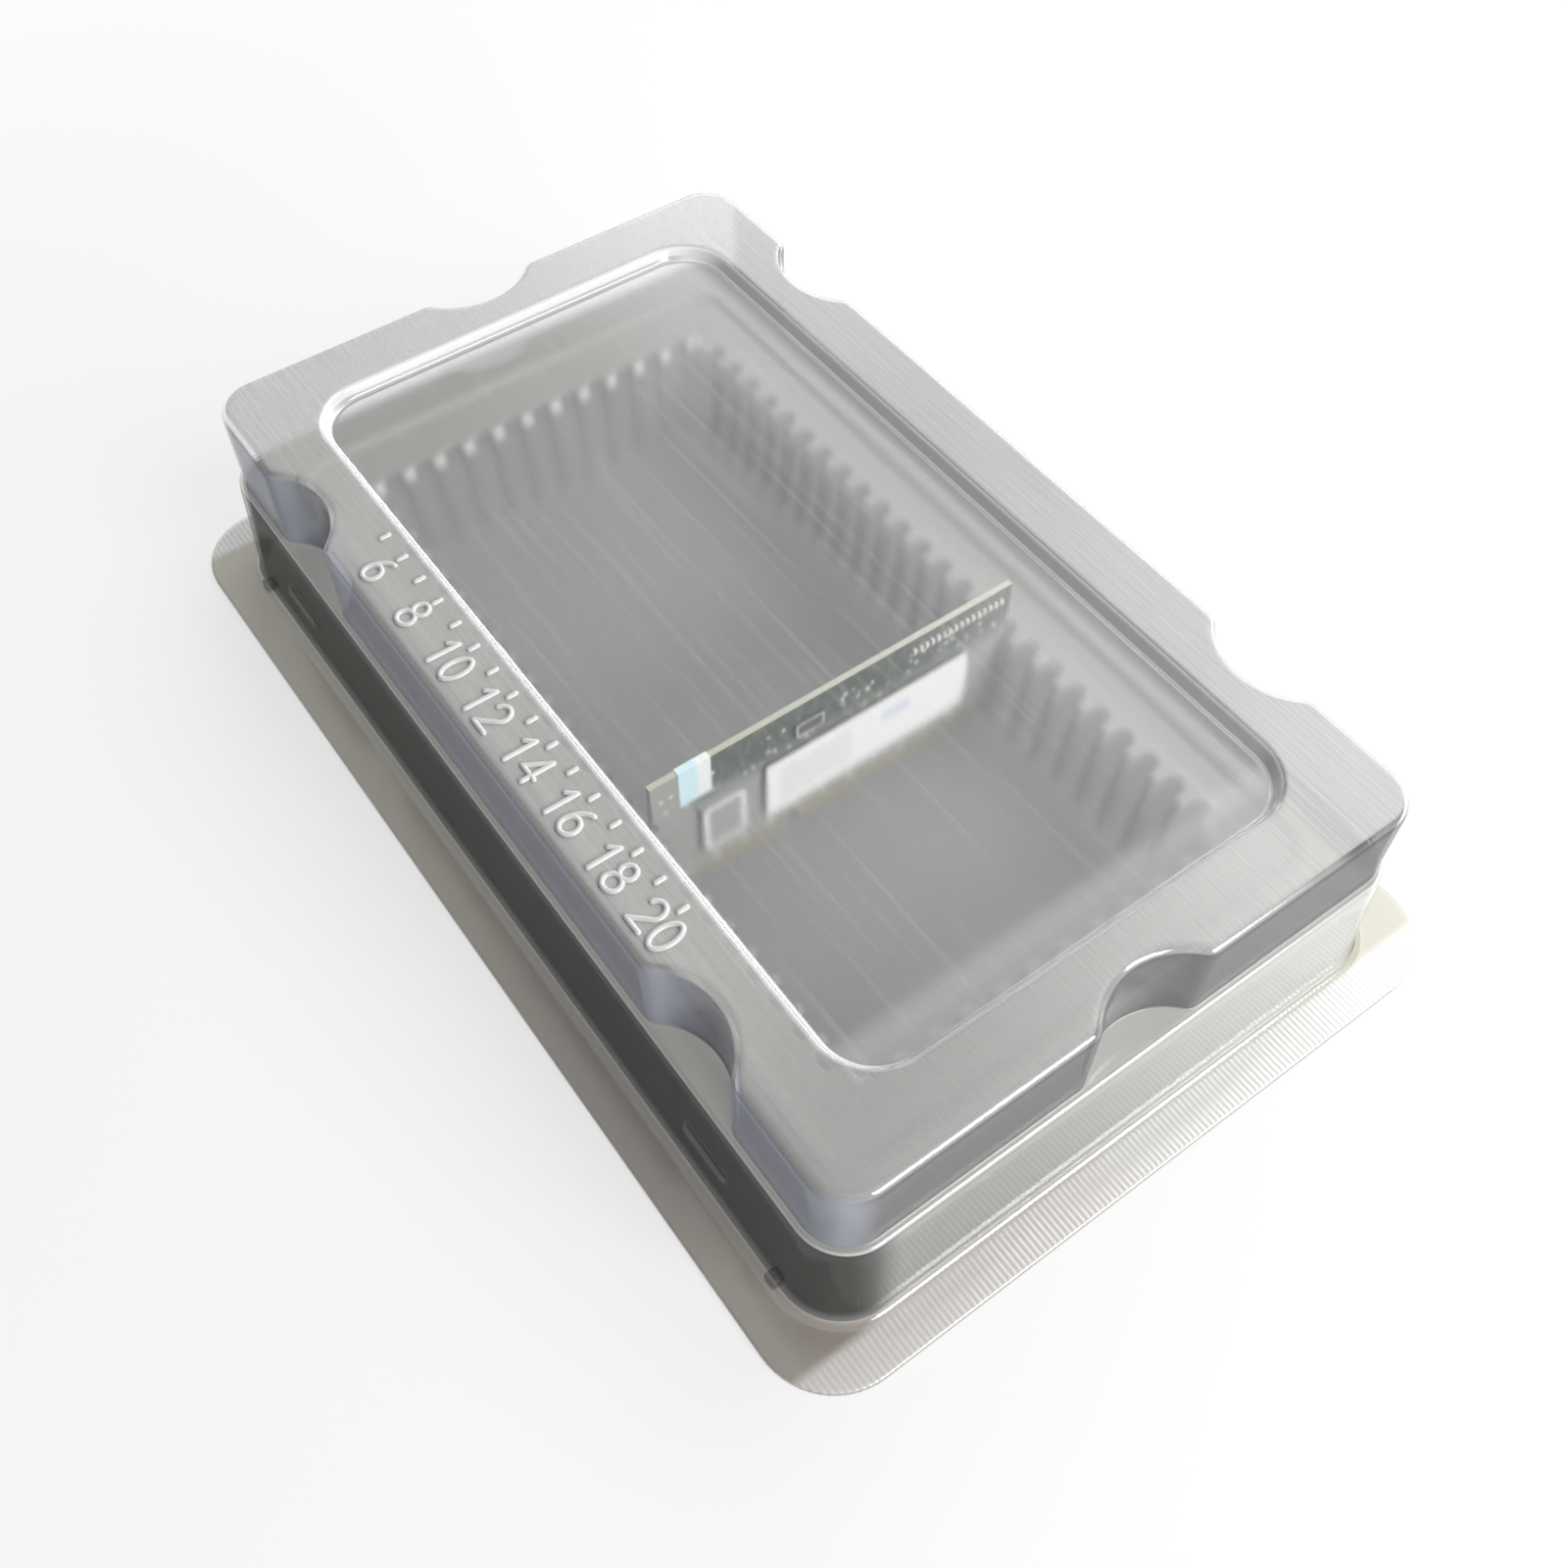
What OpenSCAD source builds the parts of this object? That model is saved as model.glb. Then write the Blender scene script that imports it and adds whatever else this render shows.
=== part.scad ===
// Lidded tray for small memory modules. Two pieces of clear sheet, each formed in one go: an inner tray with
// a combed pocket, and a deep lid that nests over it, flange on flange. One module stands in the tray.
// The origin is under the middle of the tray, on the surface it stands on. +X runs along the short side,
// +Y along the long side and +Z up. Millimetres.

/* [Sheet] */
// Thickness of the formed sheet of both pieces
sheet = 0.6; // [0.4:0.05:0.8]
// Clearance between the lid and the tray nested in it
nest_gap = 0.3; // [0.2:0.05:0.5]

/* [Flange] */
// How far both flanges reach out from the foot of the lid's skirt
flange_reach = 7.4; // [5:0.2:14]
// Corner radius of both flanges
flange_corner = 12; // [6:0.5:16]
// Radius between the skirt and the flange
foot_fillet = 1.5; // [0.8:0.1:2.5]

/* [Lid] */
// Width of the cap, the upper step of the lid
cap_w = 102.6; // [98:0.2:120]
// Length of the cap
cap_l = 174.2; // [164:0.2:200]
// Room between the flag over the module's top edge and the window above it
head_room = 2.28; // [0.4:0.02:8]
// Height of the ledge above the underside of the lid's flange
ledge_h = 22.2; // [18:0.1:24]
// Width of the ledge between the cap and the skirt
ledge_w = 1.1; // [0.8:0.1:3]
// How far the skirt leans out between the ledge and its foot
skirt_lean = 1.5; // [0.8:0.1:4]
// Corner radius of the cap in plan
cap_corner = 7; // [5:0.5:10]
// Radius of the cap's top edge
cap_edge = 1.5; // [1:0.1:2]
// Radius of the ledge's outer edge
ledge_edge = 0.9; // [0.8:0.1:1.2]

/* [Window] */
// Width of the recessed window in the rim
win_w = 78.2; // [60:0.2:82]
// Length of the recessed window
win_l = 150.8; // [120:0.2:154]
// Depth of the window below the rim
win_depth = 2.2; // [1.4:0.1:3]
// Slope of the recess's sides in degrees
win_slope = 65; // [55:1:75]
// Corner radius of the window
win_corner = 9; // [5:0.5:14]
// Radius of the edge between the rim and the recess
win_edge = 1.2; // [0.9:0.1:1.5]
// Radius at the foot of the recess
win_foot = 0.6; // [0.4:0.1:0.9]

/* [Finger notches] */
// Radius of the hollow of a notch
notch_r = 12; // [9:0.5:16]
// How deep a notch cuts into the cap
notch_depth = 4.8; // [3:0.1:5.2]
// Radius that blends a notch into the wall
notch_blend = 3; // [2.6:0.1:4]
// Distance of the side notches from the middle of the long side
notch_y = 55; // [40:0.5:58]

/* [Snap bars and lugs] */
// Length of a snap bar on the skirt
bar_l = 12; // [8:0.5:18]
// Radius of a snap bar's round section
bar_r = 2; // [1.6:0.1:2.6]
// How far a snap bar stands out of the skirt
bar_out = 0.8; // [0.6:0.1:1]
// Height of the snap bars above the underside of the lid's flange
bar_h = 10.7; // [7:0.1:14]
// Distance of the snap bars from the middle of the long side
bar_y = 61; // [40:0.5:66]
// Side of a square stacking lug at the foot of the skirt
lug_side = 2.4; // [1.8:0.1:3]
// Height of a lug above the flange
lug_h = 2; // [1.4:0.1:3]
// Corner radius of a lug
lug_corner = 0.5; // [0.3:0.1:0.8]
// Distance of the lugs from the middle of the long side
lug_y = 78; // [68:0.5:79]

/* [Tray pocket] */
// Height of the pocket's floor above the surface the tray stands on
floor_h = 3; // [1.5:0.1:4]
// Number of module slots
slot_count = 24; // [8:2:24]
// Distance from slot to slot
slot_pitch = 5.5; // [5.2:0.1:5.6]
// Width of a slot
slot_w = 3.4; // [2.8:0.1:3.6]
// Room at each end of a module in the foot of its slot
slot_room = 0.3; // [0.2:0.1:1]
// How much wider each side of a slot is at the top
slot_lean = 1.9; // [1:0.1:3]
// How far the comb's teeth reach in past the foot of the slots
tooth_reach = 3.3; // [2:0.1:5]
// Lip that leads the modules in at the top of the teeth
comb_lip = 0.6; // [0.3:0.1:0.9]
// Space between the last slot and the end wall, at the floor
end_space = 1.2; // [0.6:0.1:3]
// How far the end walls lean out towards the top
end_lean = 2; // [1:0.1:3]
// Number of flutes in each end wall
flute_count = 11; // [4:1:12]
// Radius of a flute
flute_r = 1.9; // [1.8:0.1:2.2]
// Depth of a flute in the end wall
flute_depth = 1.6; // [0.8:0.1:1.7]
// Width of the stiffening bead on the land around the pocket
bead_w = 2.6; // [2:0.1:3]
// Height of the bead
bead_h = 1.1; // [0.6:0.1:2]
// Room between the bead and the lid's notches
bead_room = 1; // [0.4:0.1:2]
// Corner radius of the bead
bead_corner = 6; // [4:0.5:9]

/* [Memory module] */
// Length of the module
module_l = 67.6; // [60:0.1:68]
// Height of the module
module_h = 30; // [25:0.1:34]
// Thickness of the board
board_t = 1; // [0.8:0.1:1.2]
// Slot that the module stands in, counted from the middle of the tray towards -Y
module_slot = 4; // [1:1:4]
// Width of a memory chip
chip_w = 8.2; // [7:0.1:10]
// Height of a memory chip
chip_h = 11.4; // [9:0.1:12]
// Thickness of a memory chip
chip_t = 0.95; // [0.7:0.05:1]
// Distance from chip to chip
chip_pitch = 14.5; // [12:0.1:15]
// Height of the chips' centres above the foot of the board
chip_z = 13.5; // [12:0.1:14]
// Width of the white label over the chips
label_w = 39; // [24:0.5:40]
// Height of the label
label_h = 13; // [8:0.1:13]
// Distance of the label's centre from the middle of the board
label_x = 5.4; // [3:0.1:7]
// Height of the label's centre above the chips' centres
label_rise = 0.7; // [-0.6:0.1:1]
// Thickness of the label and of the folded flag
paper_t = 0.12; // [0.1:0.01:0.2]
// Width of the folded flag on the top edge
flag_w = 5.6; // [3:0.1:6]
// Length of the flag's front leg
flag_leg = 8; // [4:0.1:8.5]
// Distance of the flag from the left end of the board
flag_inset = 4.8; // [2:0.1:5.2]
// Distance from contact to contact
contact_pitch = 0.6; // [0.5:0.05:0.8]
// Height of a contact
contact_h = 2.5; // [2:0.1:3]
// Distance of the key slot from the middle of the board
key_off = 8.4; // [6:0.1:10]
// Width of the key slot
key_w = 1.8; // [1.4:0.1:2.2]
// Height of the key slot
key_h = 4; // [3:0.1:4.4]

/* [Small parts on the module] */
// Width of a small part
passive_w = 0.6; // [0.4:0.1:0.8]
// Thickness of a small part
passive_t = 0.45; // [0.3:0.05:0.7]
// Height of a small part
passive_h = 1; // [0.6:0.1:1.4]
// Number of small parts under the top edge
top_count = 16; // [6:1:16]
// Distance from part to part under the top edge
top_pitch = 1.15; // [0.9:0.05:1.2]
// Distance of that row from the right end of the board
top_inset = 1.8; // [1:0.1:3]
// Drop of that row below the top edge
top_drop = 2.2; // [1.6:0.1:3]
// Number of small parts above the contacts
low_count = 12; // [6:1:12]
// Distance from part to part above the contacts
low_pitch = 5.2; // [4:0.1:5.3]
// Height of that row above the contacts
low_rise = 1.3; // [0.8:0.1:1.5]
// Width of the small chip under the top edge
small_chip_w = 5.2; // [3:0.1:6]
// Height of the small chip
small_chip_h = 3; // [2:0.1:3.4]
// Thickness of the small chip
small_chip_t = 0.75; // [0.5:0.05:1]
// Drop of the small chip below the top edge
small_chip_drop = 3.6; // [3:0.1:3.8]

/* [Hidden] */
$fn = 96;
// Steps in a quarter of a rounded edge
ARC_STEPS = 4;
// How far a cutting tool runs past the face it cuts
PAST = 1;
// Angle that the comb's lip turns out from the walls
LIP_TURN = 45;
// Sides of the middle that the four corners lie on, turning from +X
SIGNS = [[1, 1], [-1, 1], [-1, -1], [1, -1]];

// The lid's levels above the standing surface
lid_z = sheet;
flange_top = lid_z + sheet;
ledge_z = lid_z + ledge_h;
// The lid is as high above its flange's underside as the module below its window needs
lid_h = floor_h + module_h + paper_t + head_room + win_depth;
rim_z = lid_z + lid_h;
// Width in plan of the recess's sides, from the rim to the window's floor
win_run = win_depth / tan(win_slope) + (win_edge + win_foot) * tan(win_slope / 2);

// Half distances between the corner axes that the cap, the ledge and the skirt share
axis_x = cap_w / 2 - cap_corner;
axis_y = cap_l / 2 - cap_corner;
ledge_r = cap_corner + ledge_w;
foot_r = ledge_r + skirt_lean;
flange_w = 2 * (axis_x + foot_r + flange_reach);
flange_l = 2 * (axis_y + foot_r + flange_reach);

// A notch's centre lies outside the wall by notch_off, and its blends' centres notch_span to each side
notch_off = notch_r - notch_depth;
notch_span = sqrt(pow(notch_r + notch_blend, 2) - pow(notch_off + notch_blend, 2));
// Middle of the wall, outward direction of each notch: [x, y, turn about Z]
NOTCHES = concat(
    [for (s = [-1, 1], y = [-notch_y, notch_y]) [s * cap_w / 2, y, s * -90]],
    [for (s = [-1, 1]) [0, s * cap_l / 2, s > 0 ? 0 : 180]]
);

// The tray's land lies under the ledge with the nesting clearance between them
land_z = ledge_z - sheet - nest_gap;
pocket_h = land_z - floor_h;
slot_foot = module_l / 2 + slot_room;
slot_top = slot_foot + slot_lean;
tooth_foot = slot_foot - tooth_reach;
tooth_top = slot_top - tooth_reach;
end_foot = (slot_count - 1) / 2 * slot_pitch + slot_w / 2 + end_space;
end_top = end_foot + end_lean;
flute_pitch = 2 * tooth_top / flute_count;
// Middle line of the bead, just inside the lid's notches
bead_x = cap_w / 2 - notch_depth - sheet - bead_room - bead_w / 2;
bead_y = cap_l / 2 - notch_depth - sheet - bead_room - bead_w / 2;

// The module's own places
board_y = (0.5 - module_slot) * slot_pitch;
board_front = board_y - board_t / 2;
board_back = board_y + board_t / 2;
chip_front = board_front - chip_t;
board_top = floor_h + module_h;
CHIP_XS = [for (i = [-1.5 : 1.5]) i * chip_pitch];
side_notch_r = 0.9;
contact_w = 0.7 * contact_pitch;
contact_t = 0.05;
contact_foot = floor_h + sheet / 2;
// Bare ends of the row of contacts
contact_end = 2.5;
contact_count = floor((module_l / 2 - contact_end) / contact_pitch);

// Points of an arc about a centre, from one angle to another
function arc(centre, r, from, to) =
    [for (i = [0 : ARC_STEPS]) let (a = from + (to - from) * i / ARC_STEPS) centre + r * [cos(a), sin(a)]];

// Radius of a rounded edge on the face that lies in inside the outer one
function inner_edge(edge, in) = max(edge - in, edge / 8);

// A section's points mirrored across the axis, closed into one outline of the given half width
function across(half, section) = concat(
    [for (p = section) [half + p.x, p.y]],
    [for (i = [len(section) - 1 : -1 : 0]) [-half - section[i].x, section[i].y]]
);

// A solid with a rounded rectangle at every height. Its corner axes stand at half_x and half_y, and section
// holds its outer face as [distance from the axis, height] points from the bottom up.
module swept_block(half_x, half_y, section) {
    last = section[len(section) - 1];
    for (quarter = [0 : 3])
        translate([half_x * SIGNS[quarter].x, half_y * SIGNS[quarter].y, 0]) rotate(90 * quarter)
            rotate_extrude(angle = 90) polygon(concat([[0, section[0].y]], section, [[0, last.y]]));
    rotate([90, 0, 0]) linear_extrude(2 * half_y, center = true) polygon(across(half_x, section));
    rotate([90, 0, 90]) linear_extrude(2 * half_x, center = true) polygon(across(half_y, section));
}

// A flat rounded plate
module plate(w, l, corner, z, t) {
    translate([0, 0, z]) linear_extrude(t) {
        square([w - 2 * corner, l], center = true);
        square([w, l - 2 * corner], center = true);
        for (x = [-1, 1], y = [-1, 1]) translate([x * (w / 2 - corner), y * (l / 2 - corner)]) circle(corner);
    }
}

// Section of a wall that rises from a foot fillet to a rounded edge. in is how many millimetres of sheet the
// face lies below the lid's outer face, and gap the clearance on top of that.
function skirt_section(in, gap, top, edge, start) = concat(
    [[foot_r + foot_fillet - gap, start]],
    arc([foot_r + foot_fillet - gap, flange_top + foot_fillet], foot_fillet + in, 270, 180),
    arc([ledge_r - in - gap - edge, top - edge], edge, 0, 90)
);

// Block of the cap, with in as above, cut by its notches
module cap_block(in) {
    top = rim_z - in;
    low = ledge_z - in;
    edge = inner_edge(cap_edge, in);
    wall = cap_corner - in;
    section = concat([[wall, low - sheet / 2]], arc([wall - edge, top - edge], edge, 0, 90));
    difference() {
        swept_block(axis_x, axis_y, section);
        for (n = NOTCHES) translate([n.x, n.y, 0]) rotate(n.z) notch_tool(in, low, top, edge);
    }
    for (n = NOTCHES) translate([n.x, n.y, 0]) rotate(n.z) notch_posts(in, low, top, edge);
}

// What a notch takes away: a round hollow that flares at the rim, and the two corners beside it
module notch_tool(in, low, top, edge) {
    r = notch_r + in;
    touch = r / (notch_r + notch_blend) * notch_span;
    translate([0, notch_off, 0]) rotate_extrude() polygon(concat(
        [[0, low], [r, low]],
        arc([r + edge, top - edge], edge, 180, 90),
        [[r + edge, top + PAST], [0, top + PAST]]
    ));
    for (s = [0, 1]) mirror([s, 0, 0]) translate([touch, -notch_blend, low])
        cube([notch_span - touch, notch_blend + PAST, top - low + PAST]);
}

// The round blends at both ends of a notch
module notch_posts(in, low, top, edge) {
    r = notch_blend - in;
    foot = low - sheet / 2;
    for (s = [-1, 1]) translate([s * notch_span, -notch_blend, 0]) rotate_extrude()
        polygon(concat([[0, foot], [r, foot]], arc([r - edge, top - edge], edge, 0, 90), [[0, top]]));
}

// Recess of the window, grown by in on the inner face. Its sides slope between two round edges, with their
// middle on the window's outline.
module window_tool(in) {
    swept_block(win_w / 2 - win_corner, win_l / 2 - win_corner, concat(
        arc([win_corner - win_run / 2, rim_z - win_depth + win_foot], win_foot + in, 270, 270 + win_slope),
        arc([win_corner + win_run / 2, rim_z - win_edge], inner_edge(win_edge, in), 90 + win_slope, 90),
        [[win_corner + win_run / 2, rim_z - in + PAST]]
    ));
}

// Half width of the skirt's outer face at a height above its flange
function skirt_x(h) = axis_x + ledge_r + skirt_lean * (1 - h / ledge_h);

// Four round-ended bars that stand out of the long sides of the skirt
module snap_bars(in) {
    r = bar_r - in;
    for (s = [-1, 1], y = [-bar_y, bar_y])
        translate([s * (skirt_x(bar_h) + bar_out - bar_r), y, lid_z + bar_h]) {
            rotate([90, 0, 0]) cylinder(r = r, h = bar_l - 2 * bar_r, center = true);
            for (e = [-1, 1]) translate([0, e * (bar_l / 2 - bar_r), 0]) sphere(r);
        }
}

// Four square lugs at the foot of the long sides
module lugs(in) {
    side = lug_side - 2 * in;
    corner = inner_edge(lug_corner, in);
    for (s = [-1, 1], y = [-lug_y, lug_y])
        translate([s * (axis_x + foot_r), y, 0]) plate(side, side, corner, lid_z - in, sheet + lug_h);
}

// The lid's solid form below its skin, in inside its outer face
module lid_form(in, start) {
    swept_block(axis_x, axis_y, skirt_section(in, 0, ledge_z - in, inner_edge(ledge_edge, in), start));
    difference() {
        cap_block(in);
        window_tool(in);
    }
    snap_bars(in);
    lugs(in);
}

module lid() {
    color([0.8, 0.82, 0.84, 0.5]) difference() {
        union() {
            plate(flange_w, flange_l, flange_corner, lid_z, sheet);
            lid_form(0, lid_z);
        }
        lid_form(sheet, lid_z - PAST);
    }
}

// Outline across the pocket: half widths at the floor and at the land, where the walls turn out in a lip.
// Grown by in, the lip starts lower by in times the tangent of half its turn.
function pocket_outline(foot, top, in) = let (
    rise = (top - foot) / pocket_h,
    lip = comb_lip + in * tan(LIP_TURN / 2),
    wall = top + in - rise * lip,
    mouth = wall + (lip + PAST) * tan(LIP_TURN)
) [
    [-foot - in + rise * in, floor_h - in], [foot + in - rise * in, floor_h - in],
    [wall, land_z - lip], [mouth, land_z + PAST], [-mouth, land_z + PAST], [-wall, land_z - lip]
];

// The pocket with its comb of slots and its fluted ends, grown by in on the underside
module pocket_tool(in) {
    intersection() {
        rotate([90, 0, 0]) linear_extrude(2 * (end_top + in + comb_lip + PAST), center = true)
            polygon(pocket_outline(tooth_foot, tooth_top, in));
        rotate([90, 0, 90]) linear_extrude(2 * (slot_top + PAST), center = true)
            polygon(pocket_outline(end_foot, end_top, in));
    }
    for (s = [0, 1]) mirror([s, 0, 0]) slots(in);
    for (s = [0, 1]) mirror([0, s, 0]) flutes(in);
}

// Round-ended slots down one side of the pocket, leaning with it
module slots(in) {
    lean = atan(slot_lean / pocket_h);
    r = slot_w / 2 + in;
    intersection() {
        translate([0, -end_top, floor_h - in]) cube([slot_top + slot_w, 2 * end_top, pocket_h + in + PAST]);
        for (i = [0 : slot_count - 1])
            translate([slot_foot - slot_w / 2, (i - (slot_count - 1) / 2) * slot_pitch, floor_h])
                rotate([0, lean, 0]) translate([0, 0, -slot_w]) linear_extrude(pocket_h + 3 * slot_w) {
                    circle(r);
                    translate([-tooth_reach - slot_w / 2, -r]) square([tooth_reach + slot_w / 2, 2 * r]);
                }
    }
}

// Flutes down one end wall, leaning with it
module flutes(in) {
    lean = atan(end_lean / pocket_h);
    axis = end_foot + flute_depth - flute_r;
    intersection() {
        translate([-slot_top, 0, floor_h - in])
            cube([2 * slot_top, end_top + 2 * flute_r, pocket_h + in + PAST]);
        for (i = [0 : flute_count - 1])
            translate([(i - (flute_count - 1) / 2) * flute_pitch, axis, floor_h])
                rotate([-lean, 0, 0]) translate([0, 0, -flute_r])
                    cylinder(r = flute_r + in, h = pocket_h + 3 * flute_r);
    }
}

// Bead around the pocket, raised from the land
module bead(in) {
    half_x = bead_x - bead_corner;
    half_y = bead_y - bead_corner;
    w = bead_w / 2 - in;
    foot = land_z - in - sheet / 2;
    crown = land_z + bead_h - in;
    edge = min(w, bead_h) / 2;
    inner = bead_corner - w;
    difference() {
        swept_block(half_x, half_y, concat(
            [[bead_corner + w, foot]], arc([bead_corner + w - edge, crown - edge], edge, 0, 90)));
        swept_block(half_x, half_y, concat(
            [[inner, foot - PAST]],
            arc([inner + edge, crown - edge], edge, 180, 90),
            [[inner + edge, crown + PAST]]
        ));
    }
}

// The tray's solid form below its skin, in inside its outer face
module tray_form(in, start) {
    edge = inner_edge(ledge_edge, sheet + in);
    difference() {
        swept_block(axis_x, axis_y, skirt_section(sheet + in, nest_gap, land_z - in, edge, start));
        pocket_tool(in);
    }
    bead(in);
}

module base_tray() {
    color([0.62, 0.64, 0.66, 0.6]) difference() {
        union() {
            plate(flange_w, flange_l, flange_corner, 0, sheet);
            tray_form(0, 0);
        }
        tray_form(sheet, -PAST);
    }
}

// Board of the module, standing across the tray on the pocket's floor
module module_board() {
    color("darkgreen") translate([0, board_back, floor_h]) rotate([90, 0, 0]) linear_extrude(board_t)
        difference() {
            translate([-module_l / 2, 0]) square([module_l, module_h]);
            translate([-key_off - key_w / 2, -PAST]) square([key_w, key_h - key_w / 2 + PAST]);
            translate([-key_off, key_h - key_w / 2]) circle(key_w / 2);
            for (s = [-1, 1], h = [module_h / 5, 2 * module_h / 3])
                translate([s * module_l / 2, h]) circle(side_notch_r);
        }
}

// A row of four memory chips with their backs on the plane y
module chip_row(y) {
    for (x = CHIP_XS)
        translate([x - chip_w / 2, y, floor_h + chip_z - chip_h / 2]) cube([chip_w, chip_t, chip_h]);
}

module module_chips_front() {
    color("dimgray") chip_row(chip_front);
}

module module_chips_back() {
    color("dimgray") chip_row(board_back);
}

// Gold contacts along the foot of both faces, left out around the key
module module_contacts() {
    color("gold") for (i = [-contact_count : contact_count], y = [board_front - contact_t, board_back])
        if (abs(i * contact_pitch + key_off) > key_w / 2 + contact_w)
            translate([i * contact_pitch - contact_w / 2, y, contact_foot])
                cube([contact_w, contact_t, contact_h]);
}

// A row of small square parts on the board's front, from x along +X, with their feet at the height z
module passive_row(count, pitch, x, z) {
    for (i = [0 : count - 1])
        translate([x + i * pitch, board_front - passive_t, z]) cube([passive_w, passive_t, passive_h]);
}

// One row under the top edge, and one above the contacts
module module_passives() {
    top_span = (top_count - 1) * top_pitch + passive_w;
    top_x = module_l / 2 - top_inset - top_span;
    low_span = (low_count - 1) * low_pitch + passive_w;
    color("tan") {
        passive_row(top_count, top_pitch, top_x, board_top - top_drop - passive_h);
        passive_row(low_count, low_pitch, -low_span / 2, contact_foot + contact_h + low_rise);
    }
}

module module_small_chip() {
    foot = board_top - small_chip_drop - small_chip_h;
    color("black") translate([-key_off, board_front - small_chip_t, foot])
        cube([small_chip_w, small_chip_t, small_chip_h]);
}

// White label across the last three chips
module module_label() {
    foot = floor_h + chip_z + label_rise - label_h / 2;
    color("white") translate([label_x - label_w / 2, chip_front - paper_t, foot])
        cube([label_w, paper_t, label_h]);
}

// Thin flag folded over the board's top edge
module module_flag() {
    low = board_top - flag_leg;
    back_low = board_top - flag_leg / 2;
    crest = board_top + paper_t;
    color("skyblue") translate([flag_inset - module_l / 2, 0, 0]) rotate([90, 0, 90]) linear_extrude(flag_w)
        polygon([
            [board_front, low], [board_front, board_top], [board_back, board_top], [board_back, back_low],
            [board_back + paper_t, back_low], [board_back + paper_t, crest],
            [board_front - paper_t, crest], [board_front - paper_t, low]
        ]);
}

base_tray();
lid();
module_board();
module_chips_front();
module_chips_back();
module_contacts();
module_passives();
module_small_chip();
module_label();
module_flag();
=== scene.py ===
"""Looks of a lidded memory module tray: two formed clear sheets and the module in its slot.

Lengths are millimetres until a mesh is made. The frame is the CAD's: +X along the short side, +Y along the
long side, +Z up, and the origin under the middle of the tray.
"""

import bpy
import numpy as np
from mathutils import Matrix, Vector


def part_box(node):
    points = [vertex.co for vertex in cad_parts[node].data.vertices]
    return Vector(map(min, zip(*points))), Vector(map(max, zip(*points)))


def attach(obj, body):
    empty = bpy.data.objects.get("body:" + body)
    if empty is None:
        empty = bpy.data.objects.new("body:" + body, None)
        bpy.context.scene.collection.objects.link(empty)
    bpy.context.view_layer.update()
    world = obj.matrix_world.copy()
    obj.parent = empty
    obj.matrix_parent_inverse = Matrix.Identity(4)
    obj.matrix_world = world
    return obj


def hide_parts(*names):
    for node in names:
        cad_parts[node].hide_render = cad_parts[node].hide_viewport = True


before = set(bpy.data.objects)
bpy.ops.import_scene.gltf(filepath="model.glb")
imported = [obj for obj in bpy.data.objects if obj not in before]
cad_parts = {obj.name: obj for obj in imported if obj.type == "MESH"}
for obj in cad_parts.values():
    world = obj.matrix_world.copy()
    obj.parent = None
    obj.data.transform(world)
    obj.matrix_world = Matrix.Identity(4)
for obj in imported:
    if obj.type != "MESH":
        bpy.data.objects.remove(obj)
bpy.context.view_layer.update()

MM = 0.001
WHITE = (1, 1, 1, 1)


def corners_of(box):
    """A box's low corner and its high corner as the rows of an array."""
    return np.array([list(corner) for corner in box])


SHEET = 0.6
NEST_GAP = 0.3
# Hair's breadth that keeps faces which rest on each other from being drawn in the same place
HAIR = 0.02
# Flat strip beside a rounding, so that the flat face beyond it is shaded flat
FLAT = 0.5
# Parts of a unit normal below this count as nothing
TINY = 0.001

# Levels and half sizes that the CAD frame gives
LID_BOX = corners_of(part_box("lid")) / MM
BOARD_BOX = corners_of(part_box("module_board")) / MM
RIM_Z = LID_BOX[1, 2]
FLANGE = LID_BOX[1, :2]
BOARD_TOP = BOARD_BOX[1, 2]

# Lid: corner radii are measured from the corner axes that cap, ledge and skirt share
LID_Z = SHEET
FLANGE_TOP = LID_Z + SHEET
FLANGE_CORNER = 12.0
FLANGE_RIM = 0.4
FOOT_FILLET = 1.5
LEDGE_Z = LID_Z + 22.2
CAP_CORNER = 7.0
LEDGE_R = CAP_CORNER + 1.1
FOOT_R = LEDGE_R + 1.5
CAP_EDGE = 1.5
LEDGE_EDGE = 0.9
FLANGE_REACH = 7.4
AXIS = FLANGE - FLANGE_REACH - FOOT_R
FLANGE_AXIS = FLANGE - FLANGE_CORNER
WINDOW = np.array([39.1, 75.4])
WINDOW_CORNER = 9.0
WINDOW_DEPTH = 2.2
WINDOW_SLOPE = np.radians(65)
WINDOW_EDGE = 1.2
WINDOW_FOOT = 0.6
WINDOW_RUN = WINDOW_DEPTH / np.tan(WINDOW_SLOPE)
WINDOW_RUN += (WINDOW_EDGE + WINDOW_FOOT) * np.tan(WINDOW_SLOPE / 2)
WINDOW_AXIS = WINDOW - WINDOW_CORNER
# Stations along a side of the lid: how far apart, and how far from the middle they may lie
SIDE_STEP = 4
SIDE_REACH = 200

# Finger notches, snap bars and lugs
NOTCH_R = 12.0
NOTCH_DEPTH = 4.8
NOTCH_BLEND = 3.0
NOTCH_Y = 55.0
BAR_Y = 61.0
BAR_L = 12.0
BAR_R = 2.0
BAR_OUT = 0.8
BAR_Z = LID_Z + 10.7
# Stretch of a long side with a notch and a bar: its middle, half its length, and how far apart stations lie
DENSE_Y = NOTCH_Y + 1
DENSE_HALF = 13
DENSE_STEP = 0.5
LUG_Y = 78.0
LUG_SIDE = 2.4
LUG_H = 2.0

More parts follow.
